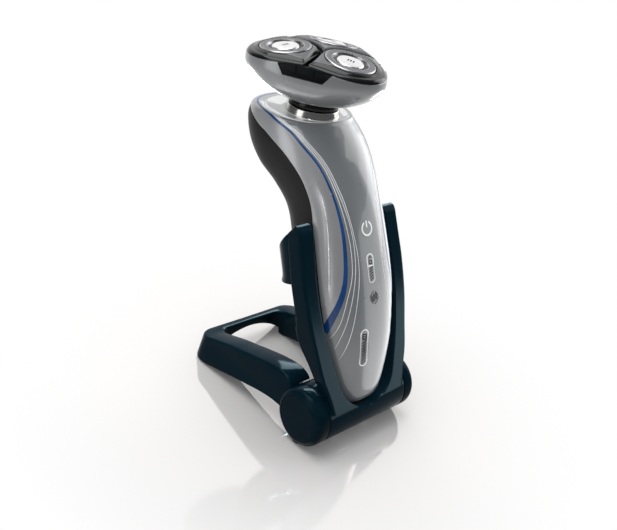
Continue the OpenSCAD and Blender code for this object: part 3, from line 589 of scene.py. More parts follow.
def build_yoke():
    """The wall behind the handle that joins the two arms, with a lip along its lower edge."""
    low, lip, wall, middle = 64.5, 3, 2.6, -5
    size = np.array([1.012 * U + ARM_W - 1.2, BACK_D + 0.5 + wall - middle])
    rows = []
    for t in np.radians(np.linspace(-13, 193, 131)):
        out = np.array([math.cos(t), math.sin(t)])
        spot = size * out + (0, middle)
        inside = (size - (wall + 0.6, wall)) * out + (0, middle)
        top = ARM_TOP + 0.6 - (max(spot[1], ARM_BACK) - CREST_W) * TOP_SLOPE
        reach = np.array([0, max(math.sin(t), 0)])
        corners = [(*(spot + reach * lip), low), (*(spot + reach * lip * 0.85), low + 1),
                   (*(spot + reach * 0.8), low + 2.6), (*spot, low + 5), (*spot, top), (*inside, top + 0.4),
                   (*inside, low)]
        rows.append(rounded(corners, [0.5, 0.5, 1.2, 2, 0.9, 0.7, 0.6], 4))
    piece("yoke_wall", Shape(LEANING).tube(rows), "stand_gloss", "cradle", ["back_yoke"], 45)


# ---- the handle's outer form ----
def hv(f):
    return BOTTOM_V + f * HANDLE_LEN


def along_neck(t):
    bend = math.radians(NECK_BEND)
    return (NECK_FOOT[0] + t * math.cos(bend), NECK_FOOT[1] + t * math.sin(bend))


NECK_HOLE = RING_R + 0.8
# Each row of the handle: front (depth, height), back (depth, height), half width.
PROFILE = [
    ((-7.0, hv(0)), (-2.0, hv(0)), 2.5),
    ((-10.6, hv(0.010)), (1.6, hv(0.010)), 7.6),
    ((-14.3, hv(0.036)), (5.5, hv(0.036)), 12.2),
    ((-17.7, hv(0.106)), (8.6, hv(0.106)), 16.7),
    ((FRONT_D + 3.3, hv(0.235)), (10.2, hv(0.235)), WAIST - 2.6),
    ((FRONT_D + 0.5, hv(0.40)), (BACK_D, hv(0.40)), WAIST - 0.1),
    ((FRONT_D, hv(0.50)), (BACK_D, hv(0.50)), WAIST + 0.2),
    ((FRONT_D + 0.4, hv(0.635)), (BACK_D, hv(0.635)), WAIST - 0.5),
    ((-24.0, hv(0.728)), (12, hv(0.738)), SHOULDER - 3.2),
    ((-22.3, hv(0.80)), (17.8, hv(0.824)), SHOULDER - 1.7),
    ((-19.6, hv(0.872)), (26, hv(0.90)), SHOULDER),
    ((-16.4, hv(0.928)), (30.6, hv(0.98)), SHOULDER + 0.2),
    ((-13.6, hv(0.965)), (31.6, hv(1.054)), SHOULDER - 0.8),
    ((-12.3, hv(0.982)), (30.2, hv(1.10)), SHOULDER - 2.2),
    (along_neck(-14.9), along_neck(26.3), SHOULDER - 4.4),
    (along_neck(-NECK_HOLE), along_neck(NECK_HOLE), NECK_HOLE),
]
LAST = len(PROFILE) - 1
ROWS = np.array([[*f, *b, half] for f, b, half in PROFILE], float)
ROUNDNESS = 2.4


def row(q):
    q = np.minimum(np.asarray(q, float), LAST - 0.0001)
    i = np.floor(q).astype(int)
    t = (q - i)[..., None]
    pick = lambda k: ROWS[np.clip(k, 0, LAST)]
    return mixed(pick(i - 1), pick(i), pick(i + 1), pick(i + 2), t)


def skin(q, a, inset=0.0):
    """Points of the handle's skin: q counts the rows up it, a runs round it from the front in degrees."""
    q, a, inset = np.broadcast_arrays(np.asarray(q, float), np.asarray(a, float), np.asarray(inset, float))
    r = row(q)
    front, back, half = r[..., 0:2], r[..., 2:4], r[..., 4]
    mid, run = (front + back) / 2, front - back
    length = np.linalg.norm(run, axis=-1)
    tuck = inset * np.clip(LAST - q, None, 1)
    drop = inset * np.clip(q - LAST + 2, 0, 1)
    bulge = lambda v: np.sign(v) * np.abs(v) ** (2 / ROUNDNESS)
    across = np.maximum(half - tuck, 0.3) * bulge(np.sin(np.radians(a)))
    reach = np.maximum(length / 2 - tuck, 0.3) * bulge(np.cos(np.radians(a)))
    bend = math.radians(NECK_BEND)
    down = np.stack([-np.sin(bend) * drop, np.cos(bend) * drop], -1)
    side = mid + run / length[..., None] * reach[..., None] - down
    return np.stack([across, side[..., 0], side[..., 1]], -1)


# The middle of the blue trim, and beside each of its points the grip's front edge, as (row, angle).
TRIM_TO_GRIP = [((4.42, 74.9), (4.42, 75.3)), ((4.5, 70.5), (4.5, 75.2)), ((4.9, 48), (4.9, 75.2)),
                ((5.25, 41), (5.25, 75.2)), ((5.65, 36), (5.65, 75.1)), ((6.25, 32.2), (6.25, 75)),
                ((6.7, 31.2), (6.7, 74.9)), ((7.15, 31.4), (7.1, 74.8)), ((7.7, 33.2), (7.5, 74)),
                ((8.3, 35), (8.2, 70.6)), ((9.3, 35.4), (9.1, 67.2)), ((10, 37.6), (9.8, 67.2)),
                ((10.6, 43.2), (10.4, 71)), ((11.2, 47.8), (10.9, 75.4)), ((11.9, 53), (11.6, 86)),
                ((12.75, 63.5), (12.1, 94.3)), ((13.35, 77), (12.55, 104)), ((13.95, 91), (12.85, 112)),
                ((14.05, 110), (13.1, 122)), ((14.1, 135), (13.3, 142)), ((14.12, 160), (13.4, 162)),
                ((14.12, 180), (13.45, 180))]
TRIM_LINE = relaxed(smooth_curve([t for t, g in TRIM_TO_GRIP], 10), 60)
GRIP_LINE = relaxed(smooth_curve([g for t, g in TRIM_TO_GRIP], 10), 60)
GRIP_LOW = 76.0
PANEL_START = 1.0
SHOULDER_ROW = 13.9


def degrees_for(q, millimetres):
    return millimetres / np.maximum(row(q)[..., 4], 4) * RADIAN


def trim_angle(q):
    return np.interp(q, TRIM_LINE[:, 0], TRIM_LINE[:, 1])


SHOULDER_ANGLE = trim_angle(SHOULDER_ROW)


def evenly(line, n):
    """The line of (row, angle) again, with n + 1 points evenly spaced on the skin."""
    return by_length(line, n, skin(line[:, 0], line[:, 1]))


def slopes(q, a):
    """The skin's point at row q and angle a, and how it moves with each of them."""
    step_q, step_a = 0.01, 0.2
    here = skin(q, a)
    return here, (skin(q + step_q, a) - here) / step_q, (skin(q, a + step_a) - here) / step_a


def grip_angle(q):
    return np.where(q < GRIP_LINE[0, 0], np.interp(q, (0, GRIP_LINE[0, 0]), (GRIP_LOW, GRIP_LINE[0, 1])),
                    np.interp(q, GRIP_LINE[:, 0], GRIP_LINE[:, 1]))


# ---- the handle's panels ----
LENSES = {"status": (-0.5, hv(0.4985), 13.8, 2.15), "charge": (-6.3, hv(0.225), 18.2, 2.3)}
BUTTON_V, BUTTON_R = hv(0.635), 4.0
HOLE_GAP = 0.03


def on_front(x, v, lift=0.0):
    """The point of the handle's front at x across and v up, raised by lift."""
    x, v = np.asarray(x, float), np.asarray(v, float)
    rows = np.linspace(0.5, 13, 600)
    q = np.interp(v, skin(rows, 0)[:, 2], rows)
    a = np.degrees(x / np.maximum(row(q)[..., 4], 4))
    for _ in range(8):
        here, dq, da = slopes(q, a)
        miss_x, miss_v = x - here[..., 0], v - here[..., 2]
        det = dq[..., 0] * da[..., 2] - dq[..., 2] * da[..., 0]
        det = np.where(np.abs(det) < 1e-6, 1e-6, det)
        q = np.clip(q + np.clip((miss_x * da[..., 2] - miss_v * da[..., 0]) / det, -1, 1), 0.2, 13.5)
        a = np.clip(a + np.clip((dq[..., 0] * miss_v - dq[..., 2] * miss_x) / det, -15, 15), -89, 89)
    return skin(q, a, -lift)


def pill_loop(x, v, half, r, n=24):
    """The outline of a pill that stands on end, from its right side up and round."""
    up = np.radians(np.linspace(0, 180, n))
    top = [(x + r * math.cos(t), v + half + r * math.sin(t)) for t in up]
    low = [(x - r * math.cos(t), v - half - r * math.sin(t)) for t in up]
    return np.array(top + low)


def pill_prism(x, v, half, r):
    return Shape(LEANING).tube(facing(pill_loop(x, v, half, r), (FRONT_D - 8, FRONT_D + 9)))


def build_front_panel():
    fractions = np.linspace(0, 1, 97)
    q = np.linspace(PANEL_START, SHOULDER_ROW, 320)
    edge = np.where(q < TRIM_LINE[0, 0], grip_angle(q) - degrees_for(q, SEAM), trim_angle(q))
    a = edge[:, None] * (2 * fractions - 1)
    q_grid = np.broadcast_to(q[:, None], a.shape)
    shape = Shape(LEANING).grid(skin(q_grid, a), uv=np.stack([a / 360, q_grid / LAST], -1))
    behind = np.linspace(SHOULDER_ANGLE, 360 - SHOULDER_ANGLE, 91)[1:-1]
    angles = np.r_[SHOULDER_ANGLE * (2 * fractions - 1), behind]
    shoulder = TRIM_LINE[TRIM_LINE[:, 0] >= SHOULDER_ROW]
    past = np.minimum(angles, 360 - angles)
    in_front = np.abs(angles) <= SHOULDER_ANGLE + 1e-6
    low = np.where(in_front, SHOULDER_ROW, np.interp(past, shoulder[:, 1], shoulder[:, 0]))
    q_top = low + (LAST - low) * np.linspace(0, 1, 34)[:, None]
    top_rows = list(skin(q_top, np.broadcast_to(angles, q_top.shape)))
    # The last row closes in on the neck ring.
    centre = np.array([0, *NECK_FOOT])
    out = top_rows[-1] - centre
    top_rows += [centre + out * (RING_R + 0.05) / np.linalg.norm(out, axis=-1, keepdims=True)]
    shape.grid(top_rows, wrap_columns=True)
    panel = thicken(to_object("front_panel_skin", shape, 30), PANEL_T)
    holes = [pill_prism(0, BUTTON_V, 0.0, BUTTON_R + HOLE_GAP)]
    holes += [pill_prism(x, v, length / 2 - r, r + HOLE_GAP) for x, v, length, r in LENSES.values()]
    cut(panel, holes, 30)
    dress(panel, "grey_metallic", "shaver", ["front_panel"])


def edged(width, radius, shoulder, lines):
    """Fractions across a strip of this width, closer where its edges roll over, and how far each is inset."""
    share = np.minimum(radius / np.maximum(width, 1e-3), 0.3)[:, None]
    middle = np.linspace(0, 1, lines)[None, 1:-1]
    fractions = np.concatenate([0 * share, 0.3 * share, share, share + (1 - 2 * share) * middle,
                                1 - share, 1 - 0.3 * share, np.ones_like(share)], 1)
    inset = np.zeros_like(fractions)
    inset[:, [0, -1]], inset[:, [1, -2]] = radius, shoulder
    return fractions, inset


def span(near, far):
    """How far apart two lines of (row, angle) are, straight across."""
    return np.linalg.norm(skin(near[:, 0], near[:, 1]) - skin(far[:, 0], far[:, 1]), axis=-1)


def skin_strip(name, near, far, edges, slot_name, nodes, ridge=None):
    """A panel of the handle between two lines of (row, angle), with rolled edges."""
    fractions, inset = edges
    q = near[:, :1] + (far[:, :1] - near[:, :1]) * fractions
    a = near[:, 1:] + (far[:, 1:] - near[:, 1:]) * fractions
    if ridge is not None:
        inset = inset - ridge(q, a)
    shape = Shape(LEANING).grid(skin(q, a, inset), uv=np.stack([a / 360, q / LAST], -1))
    dress(thicken(to_object(name, shape, 40), PANEL_T - 0.4), slot_name, "shaver", nodes)


def side_ridge(q, a):
    """A slim raised crease that runs down the side panel and fades at both ends."""
    line = np.interp(q, (5.3, 6.4, 6.9, 7.6), (61, 55.2, 52.5, 51))
    away = (np.abs(a) - line) * row(q)[..., 4] / RADIAN
    fade = np.clip((q - 5.3) / 0.5, 0, 1) * np.clip((7.9 - q) / 0.6, 0, 1)
    return 0.10 * fade * np.exp(-(away / 0.45) ** 2)


def build_side_panels():
    grip = GRIP_LINE.copy()
    grip[:, 1] -= degrees_for(grip[:, 0], SEAM)
    for name, side in SIDES.items():
        near, far = TRIM_LINE * (1, side), grip * (1, side)
        edges = edged(span(near, far), 0.3, 0.09, 25)
        skin_strip("side_skin_" + name, near, far, edges, "silver_metallic", ["side_panel_" + name],
                   side_ridge)


def build_grip():
    low = np.stack([np.linspace(0.9, GRIP_LINE[0, 0], 40), np.zeros(40)], -1)
    low[:, 1] = grip_angle(low[:, 0])
    near = np.concatenate([low[:-1], GRIP_LINE])
    edges = edged(span(near, near * (1, 0) + (0, 180)) * 2, 0.35, 0.1, 90)
    skin_strip("grip_skin", near, near * (1, -1) + (0, 360), edges, "grip_rubber", ["rear_grip"])


def surface_strip(line, half_width, profile):
    """Rows of points for a band laid on the skin along a line of (row, angle).
    The profile pairs a share of the half width with a lift off the skin."""
    q, a = line[:, 0], line[:, 1]
    p, dq, da = slopes(q, a)
    normal = np.cross(dq, da)
    normal /= np.linalg.norm(normal, axis=1, keepdims=True)
    along = np.gradient(p, axis=0)
    along /= np.maximum(np.linalg.norm(along, axis=1, keepdims=True), 1e-9)
    across = np.cross(normal, along)
    # The step in row and angle that moves one millimetre across the line.
    e, f, g = (dq * dq).sum(1), (dq * da).sum(1), (da * da).sum(1)
    bq, ba = (dq * across).sum(1), (da * across).sum(1)
    det = e * g - f * f
    move_q, move_a = (g * bq - f * ba) / det, (e * ba - f * bq) / det
    rows = [skin(q + move_q * share * half_width, a + move_a * share * half_width, -lift)
            for share, lift in profile]
    return np.stack(rows, 1)


def band(shape, line, half_width, lift, sunk=0.35):
    """A rounded band along a line of (row, angle), its foot sunk under the skin."""
    half = [(-1, -sunk), (-1, lift * 0.4), (-0.7, lift * 0.9), (-0.3, lift)]
    profile = half + [(-share, up) for share, up in half[::-1]]
    shape.tube(surface_strip(line, half_width, profile))


# Half the trim's width, as (row, millimetres).
TRIM_WIDTHS = [(4.45, 1.9), (4.9, 1.5), (5.65, 1.1), (6.25, 0.95), (7, 0.8), (7.7, 0.62), (8.5, 0.5),
               (9.5, 0.45), (12, 0.5), (13.9, 0.6), (14.1, 0.8)]
# The three fine lines inside the trim, as (row, angle) points up the handle.
FINE_LINES = [
    [(4.28, 67.5), (4.47, 50.8), (4.85, 38.5), (5.45, 29.5), (5.8, 26), (6.2, 23.5), (6.53, 23.2),
     (6.83, 24.2), (7.28, 26), (7.77, 28), (8.3, 30), (9.3, 31), (10, 33.4), (10.6, 38.5), (11.2, 43.5),
     (11.9, 49), (12.75, 59), (13.35, 70), (13.85, 82), (14.12, 100), (14.2, 125), (14.22, 145)],
    [(4.05, 61.2), (4.35, 45.8), (4.68, 34.2), (5.1, 27), (5.45, 24), (5.93, 20.5), (6.3, 18.8), (6.67, 18.5),
     (7.08, 19.8), (7.63, 22.8), (8.3, 26.4), (9.3, 28.6), (10, 31), (10.6, 36), (11.2, 41), (11.9, 46.6),
     (12.75, 56.5), (13.35, 66.5), (13.85, 77), (14.2, 96), (14.32, 120), (14.35, 142)],
    [(3.75, 57), (3.85, 51), (4.2, 36), (4.65, 25), (5.08, 20), (5.58, 16.8), (6.13, 15), (6.42, 14.8),
     (6.75, 16.5), (7.28, 19), (8.3, 23.6), (9.3, 26.4), (10, 28.8), (10.6, 33.6), (11.2, 38.6), (11.9, 44.2),
     (12.75, 54), (13.35, 63), (13.85, 72), (14.28, 92), (14.45, 116), (14.5, 138)],
]
PIECES_ALONG = 420


def build_trim():
    for name, side in SIDES.items():
        line = evenly(TRIM_LINE, PIECES_ALONG) * (1, side)
        shape = Shape(LEANING)
        band(shape, line, np.interp(line[:, 0], *zip(*TRIM_WIDTHS)), 0.1)
        piece("trim_band_" + name, shape, "blue_trim", "shaver", ["trim_" + name], 60)
        fine = Shape(LEANING)
        fade = np.interp(np.arange(PIECES_ALONG + 1), (0, 25, 330, PIECES_ALONG), (0.4, 1, 1, 0.35))
        for points in FINE_LINES:
            line = evenly(relaxed(smooth_curve(points, 8), 30), PIECES_ALONG) * (1, side)
            width = np.interp(line[:, 0], (4, 7, 9, 14), (0.15, 0.15, 0.2, 0.2))
            band(fine, line, width * fade, 0.06, 0.1)
        piece("fine_lines_" + name, fine, "line_silver", "shaver", sharp=60)


# ---- printed marks, button and lenses ----
PRINT_LIFT, PRINT_FOOT = 0.03, -0.05


def stroke(shape, path, width, closed=False):
    """A printed line of this width along a path of (across, up) on the handle's front."""
    p = np.array(path, float)
    if closed:
        before, after = np.roll(p, 1, 0), np.roll(p, -1, 0)
    else:
        before, after = np.r_[p[:1], p[:-1]], np.r_[p[1:], p[-1:]]
    along = after - before
    along /= np.maximum(np.linalg.norm(along, axis=1, keepdims=True), 1e-9)
    out = np.stack([-along[:, 1], along[:, 0]], -1) * width / 2
    edges = ((p + out, PRINT_FOOT), (p + out, PRINT_LIFT), (p - out, PRINT_LIFT), (p - out, PRINT_FOOT))
    rows = np.stack([on_front(*line.T, lift) for line, lift in edges], 1)
    shape.grid(rows, wrap_rows=closed, wrap_columns=True, caps=not closed)


def arc(x, v, r, from_deg, to_deg, n=40):
    t = np.radians(np.linspace(from_deg, to_deg, n))
    return np.stack([x + r * np.cos(t), v + r * np.sin(t)], -1)


def slanted_bars(shape, x, v_from, v_to, count, half, slope, width):
    for v in np.linspace(v_from, v_to, count):
        stroke(shape, [(x - half, v - slope * half), (x, v), (x + half, v + slope * half)], width)


def small_box(shape, x, v, half, tall, slope, width):
    corners = [(-half, -tall), (half, -tall - slope), (half, tall - slope), (-half, tall), (-half, -tall)]
    for a, b in zip(corners[:-1], corners[1:]):
        middle = (x + (a[0] + b[0]) / 2, v + (a[1] + b[1]) / 2)
        stroke(shape, [(x + a[0], v + a[1]), middle, (x + b[0], v + b[1])], width)


def build_status_marks(white, pale, dark):
    """A pill whose top third is framed in white and whose lower part holds a row of bars."""
    x, v, length, r = LENSES["status"]
    half, inside = length / 2 - r, r - 0.2
    stroke(pale, pill_loop(x, v, half, inside), 0.34, closed=True)
    split = v + 1.3
    upper = [(x + inside, split)] + list(arc(x, v + half, inside, 0, 180)) + [(x - inside, split)]
    stroke(white, upper, 0.6)
    stroke(white, [(x - inside, split), (x, split - 0.1), (x + inside, split - 0.2)], 0.6)
    small_box(dark, x, v + 3.1, 0.75, 0.8, 0.3, 0.5)
    stroke(dark, [(x - 0.9, v + 4.6), (x + 0.1, v + 5.7), (x + 0.9, v + 4.7)], 0.55)
    slanted_bars(dark, x, v - half - 0.3, v + 0.1, 5, 1.2, 0.5, 0.62)


def build_charge_marks(white, dark):
    x, v, length, r = LENSES["charge"]
    half = length / 2 - r
    stroke(white, pill_loop(x, v, half, r - 0.2), 0.55, closed=True)
    small_box(dark, x, v + 5.6, 1.0, 1.2, 0.2, 0.6)
    stroke(dark, [(x - 0.5, v + 5.5), (x, v + 5.5), (x + 0.5, v + 5.5)], 0.5)
    slanted_bars(dark, x, v - half - 0.3, v + 3.0, 8, 1.25, 0.45, 0.62)


def build_plug_icon(dark):
    """A small diamond of slanted strokes."""
    x, v = 0.2, hv(0.395)
    for k in range(-2, 3):
        at, reach = x + k * 0.95, 2.7 - 0.75 * abs(k)
        stroke(dark, [(at - 0.45 * reach, v - reach), (at, v), (at + 0.45 * reach, v + reach)], 0.6)
    for s in (1, -1):
        corner = ((2.9, 0.2), (1.9, 1.9), (0.2, 3.2))
        stroke(dark, [(x - s * across, v + s * up) for across, up in corner], 0.5)


def build_marks():
    white, pale, dark, symbol = [Shape(LEANING) for _ in range(4)]
    stroke(symbol, arc(0, BUTTON_V, 3.1, 118, 422, 60), 0.85)
    stroke(symbol, [(0, BUTTON_V + up) for up in (0.5, 2, 3.7)], 0.85)
    piece("power_symbol", symbol, "print_white", "button", sharp=60)
    build_status_marks(white, pale, dark)
    build_charge_marks(white, dark)
    build_plug_icon(dark)
    piece("printed_white", white, "print_white", "shaver", sharp=60)
    piece("printed_pale", pale, "line_silver", "shaver", sharp=60)
    piece("printed_dark", dark, "print_dark", "shaver", sharp=60)


def front_disc(x, v, half, r):
    """A pill-shaped piece of the front, from its middle line out to a rolled edge."""
    rings = []
    for share, lift in ((0.06, 0), (0.35, 0), (0.7, 0), (0.95, 0), (0.99, -0.01), (1, -0.05)):
        loop = pill_loop(x, v, half, r * share, 32)
        rings.append(on_front(loop[:, 0], loop[:, 1], lift))
    shape = Shape(LEANING).grid(rings, wrap_columns=True)
    return shape.add(rings[0], [tuple(range(len(rings[0])))])


def build_button_and_lenses():
    button = front_disc(0, BUTTON_V, 0.0, BUTTON_R)
    dress(thicken(to_object("button_face", button, 50), 2.0), "grey_metallic", "button", ["power_button"])
    for name, (x, v, length, r) in LENSES.items():
        lens = thicken(to_object(name + "_lens_face", front_disc(x, v, length / 2 - r, r), 50), 1.2)
        dress(lens, "lens_clear", "shaver", [name + "_lens"])


# ---- neck ----
BOWL_LOW = -22.6


def build_neck():
    ring = [(9.4, -2), (RING_R - 0.2, -2), (RING_R + 0.2, -0.3), (RING_R + 0.15, 0.3),
            (RING_R - 0.45, RING_H - 0.25), (RING_R - 0.75, RING_H), (9.4, RING_H)]
    shape = Shape(NECK).lathe(rounded(ring, [0, 0, 0.2, 0.3, 0.2, 0.15, 0], 4), 160)
    piece("neck_ring_chrome", shape, "bright_chrome", "shaver", ["neck_ring"])
    seal = [(RING_R - 0.1, -2.1), (NECK_HOLE - 0.3, -2.1), (NECK_HOLE - 0.3, -0.45), (RING_R + 0.05, -0.35)]
    shape = Shape(NECK).lathe(rounded(seal, 0.1, 3), 160)
    piece("neck_seal_lip", shape, "foot_rubber", "shaver", ["neck_seal"])
    seat = -UNIT_H + RING_H + 0.3
    collar = [(8, seat), (COLLAR_R - 0.6, seat), (COLLAR_R - 0.4, seat + 0.3), (COLLAR_R - 0.4, seat + 1.5),
              (COLLAR_R - 0.7, seat + 2.3), (COLLAR_R - 1, BOWL_LOW), (8, BOWL_LOW)]
    shape = Shape(UNIT).lathe(rounded(collar, [0, 0.2, 0.3, 0.6, 0.5, 0, 0], 4), 160)
    piece("collar_black", shape, "collar_gloss", "head", ["neck_collar"])


# ---- shaving unit ----
WALL = 1.6
RIM_WALL = 0.8


def edge_radius(f):
    return UNIT_R + LOBE * np.cos(3 * f)


def rim_height(f):
    return -5.4 + 1.3 * (1 - np.cos(3 * f))


BOWL = [(UNIT_R + 0.5, -8.6, 0.84), (UNIT_R - 0.4, -11.4, 0.62), (UNIT_R - 2.9, -15, 0.39),
        (UNIT_R - 7.1, -18.4, 0.2), (UNIT_R - 11.7, -20.8, 0.07), (12.4, BOWL_LOW, 0)]


def bowl_line(f):
    """Radius and height down the bowl's outside, for each of the directions f, from its rim to its foot."""
    f = np.asarray(f, float)
    levels = [np.stack([edge_radius(f), rim_height(f)], -1)]
    levels += [np.stack([r + LOBE * share * np.cos(3 * f), z + 0 * f], -1) for r, z, share in BOWL]
    return smooth_curve(levels, 8)


def around(r, f, z):
    return np.stack([r * np.sin(f), -r * np.cos(f), z + 0 * f], -1)


# A window's half widths at its top and foot, the heights at which it narrows and ends, and the bowl's radius.
WINDOW_TOP, WINDOW_LOW, WINDOW_BEND, WINDOW_FOOT, WINDOW_R = 12.4, 9.0, -3.4, -7.9, 27.6


def window_edges(grow):
    """The outline of a window as (across, up), a little enlarged."""
    top, low = WINDOW_TOP + grow, WINDOW_LOW + grow
    right = [(top, 0), (top, WINDOW_BEND), (low, WINDOW_FOOT - grow)]
    return [(-top, 0)] + right + [(-x, z) for x, z in right[:0:-1]]


def window_half(z, grow):
    return np.interp(-z, (-WINDOW_BEND, -WINDOW_FOOT), (WINDOW_TOP, WINDOW_LOW)) + grow


def window_frame(k):
    return UNIT @ turn("Z", 60 + 120 * k)


def bowl_point(f, z, inset):
    """The bowl's outside at direction f and height z, or a little inside it."""
    f, z = np.broadcast_arrays(f, z)
    line = bowl_line(f.ravel())
    r = [np.interp(-height, -line[:, i, 1], line[:, i, 0]) for i, height in enumerate(z.ravel())]
    return around(np.array(r).reshape(f.shape) - inset, f, z)


def build_bowl():
    f = np.linspace(0, 2 * math.pi, 240, endpoint=False)
    line, edge, rim = bowl_line(f), edge_radius(f), rim_height(f)
    lip = [around(edge - RIM_WALL, f, rim + 0.2), around(edge - 0.15, f, rim + 0.18)]
    outside = [around(l[:, 0], f, l[:, 1]) for l in line]
    inside = [around(edge - RIM_WALL, f, rim - 1)]
    inside += [around(l[:, 0] - WALL, f, np.minimum(l[:, 1] + 0.6, -6.4)) for l in line[10:-6:4]]
    inside += [around(8 + 0 * f, f, BOWL_LOW + 1.4), around(8 + 0 * f, f, BOWL_LOW)]
    bowl = to_object("bowl_shell", Shape(UNIT).hoop(lip + outside + inside[::-1]), 40)
    cut(bowl, [Shape(window_frame(k)).tube(facing(window_edges(0.05), (-18, -38))) for k in range(3)], 40)
    dress(bowl, "bowl_silver", "head", ["head_bowl"])


def window_patch(k, across, z, grow, inset):
    """Points of the bowl's outside within one window: across goes from -1 to 1."""
    f = math.radians(60 + 120 * k) + np.arcsin(window_half(z, grow) / WINDOW_R) * across
    return bowl_point(f, np.minimum(z, rim_height(f) + 0.02), inset)


def build_windows():
    """Three smoked windows between the lobes, each sunk in its frame and crossed by ribs."""
    glass, frames = Shape(UNIT), Shape(UNIT)
    m, n = 30, 49
    z = np.linspace(-2.0, -7.85, m)[:, None] + np.zeros(n)
    s = np.linspace(-1, 1, n) + np.zeros((m, 1))
    border = [(0, j) for j in range(n)] + [(i, n - 1) for i in range(1, m)]
    border += [(m - 1, j) for j in range(n - 2, -1, -1)] + [(i, 0) for i in range(m - 2, 0, -1)]
    for k in range(3):
        layers = [window_patch(k, s, z, -0.05, inset) for inset in (1.15, 1.5)]
        for layer in layers:
            glass.grid(layer)
        glass.grid([[layer[spot] for spot in border] for layer in layers], wrap_columns=True)
        for low, high, out in ((-7.75, -7.35, 0.2), (-6.75, -6.5, 0.5), (-6.05, -5.85, 0.7)):
            corners = ((low, 1.4), (low, out), (high, out), (high, 1.4))
            frames.grid([window_patch(k, s[0], np.full(n, height), -0.1, inset) for height, inset in corners],
                        wrap_rows=True)
        for at, half, out, foot in ((-0.96, 0.022, 0.2, -7.8), (0.96, 0.022, 0.2, -7.8),
                                    (-0.34, 0.012, 0.45, -6.0), (0.34, 0.012, 0.45, -6.0)):
            height = np.linspace(-2.0, foot, 24)
            corners = ((-1, 1.4), (-1, out), (1, out), (1, 1.4))
            frames.grid([window_patch(k, np.full(24, at + side * half), height, 0.0, inset)
                         for side, inset in corners], wrap_rows=True)
    piece("window_glass", glass, "window_dark", "head", ["hair_windows"], 40)
    piece("window_frames", frames, "plate_black", "head", sharp=40)


# Each plate is worked out in its own sector, with its head towards -Y.
PLATE_HOLE = GUARD_R + 0.15


def reach_outside(angle):
    """How far it is from a head's middle to the plate's outer edge, in the direction angle."""
    lo, hi = np.full_like(angle, 3.0), np.full_like(angle, 40.0)
    for _ in range(30):
        mid = (lo + hi) / 2
        x, y = mid * np.cos(angle), mid * np.sin(angle) - HEAD_PITCH
        f = np.arctan2(x, -y)
        inside = np.hypot(x, y) < edge_radius(f) - 0.75 + 0.5 * np.cos(3 * f)
        lo, hi = np.where(inside, mid, lo), np.where(inside, hi, mid)
    return lo


def reach_gap(angle):
    """The same to the gaps between the plates."""
    x, y = np.cos(angle), np.sin(angle)
    slope = np.abs(x) * 0.5 + y * 0.866
    room = -PLATE_GAP / 2 + HEAD_PITCH * 0.866
    return np.where(slope > 1e-6, room / np.maximum(slope, 1e-6), 1e3)


def soft_reach(angle, outer_inset, gap_inset):
    """Both limits joined with a rounded corner."""
    a, b = reach_outside(angle) - outer_inset, np.minimum(reach_gap(angle) - gap_inset, 60)
    k = 0.5
    h = np.clip(0.5 + 0.5 * (b - a) / k, 0, 1)
    return b + (a - b) * h - k * h * (1 - h)


def hole_point(a, z):
    slope = math.radians(HEAD_SLOPE)
    x, y = PLATE_HOLE * np.cos(a), PLATE_HOLE * np.sin(a)
    return np.stack([x, -HEAD_PITCH + y * math.cos(slope) - z * math.sin(slope),
                     y * math.sin(slope) + z * math.cos(slope)], -1)


BAND_IN, GAP_IN = 2.3, 0.5


def band_rise(f):
    """How far the glossy band stands above the bowl's rim."""
    return 1.7 + 0.5 * np.cos(3 * f)


def plate_edge(a, outer_inset, gap_inset, drop=0.0):
    """A point of the plate's edge line, drawn in from the rim and from the gaps, and let down by drop."""
    d = soft_reach(a, outer_inset, gap_inset)
    x, y = d * np.cos(a), d * np.sin(a) - HEAD_PITCH
    f = np.arctan2(x, -y)
    return np.stack([x, y, rim_height(f) + band_rise(f) - drop], -1)


def crown_height(p):
    """Height of the plates' flat tops: high in the middle of the unit and lower towards its rim."""
    far = np.hypot(p[:, 0], p[:, 1])
    return np.interp(far, (0, 12, 22, 29, 35), (0.9, 0.7, -0.2, -2.0, -4.2))


def plate_row(a, t, lift=0.0):
    """The plate's top between its hole (t = 0) and the inner edge of its rim band (t = 1)."""
    t = np.broadcast_to(t, a.shape)
    p, q = hole_point(a, -0.75), plate_edge(a, BAND_IN, GAP_IN)
    out = p + (q - p) * t[:, None]
    ease = np.clip(t / 0.18, 0, 1)
    middle = crown_height(out) * (1 - t ** 3) + q[:, 2] * t ** 3
    out[:, 2] = p[:, 2] * (1 - ease) + middle * ease + lift
    return out


# The silver flat's rows, as (share of the way out, lift): it drops into the plate at both edges.
FLAT_ROWS = [(0, -0.3), (0.01, 0.08), (0.06, 0.14)]
FLAT_ROWS += [(t, 0.15) for t in (0.15, 0.3, 0.4, 0.5, 0.6, 0.7, 0.8)]
FLAT_ROWS += [(0.94, 0.14), (0.99, 0.08), (1, -0.3)]


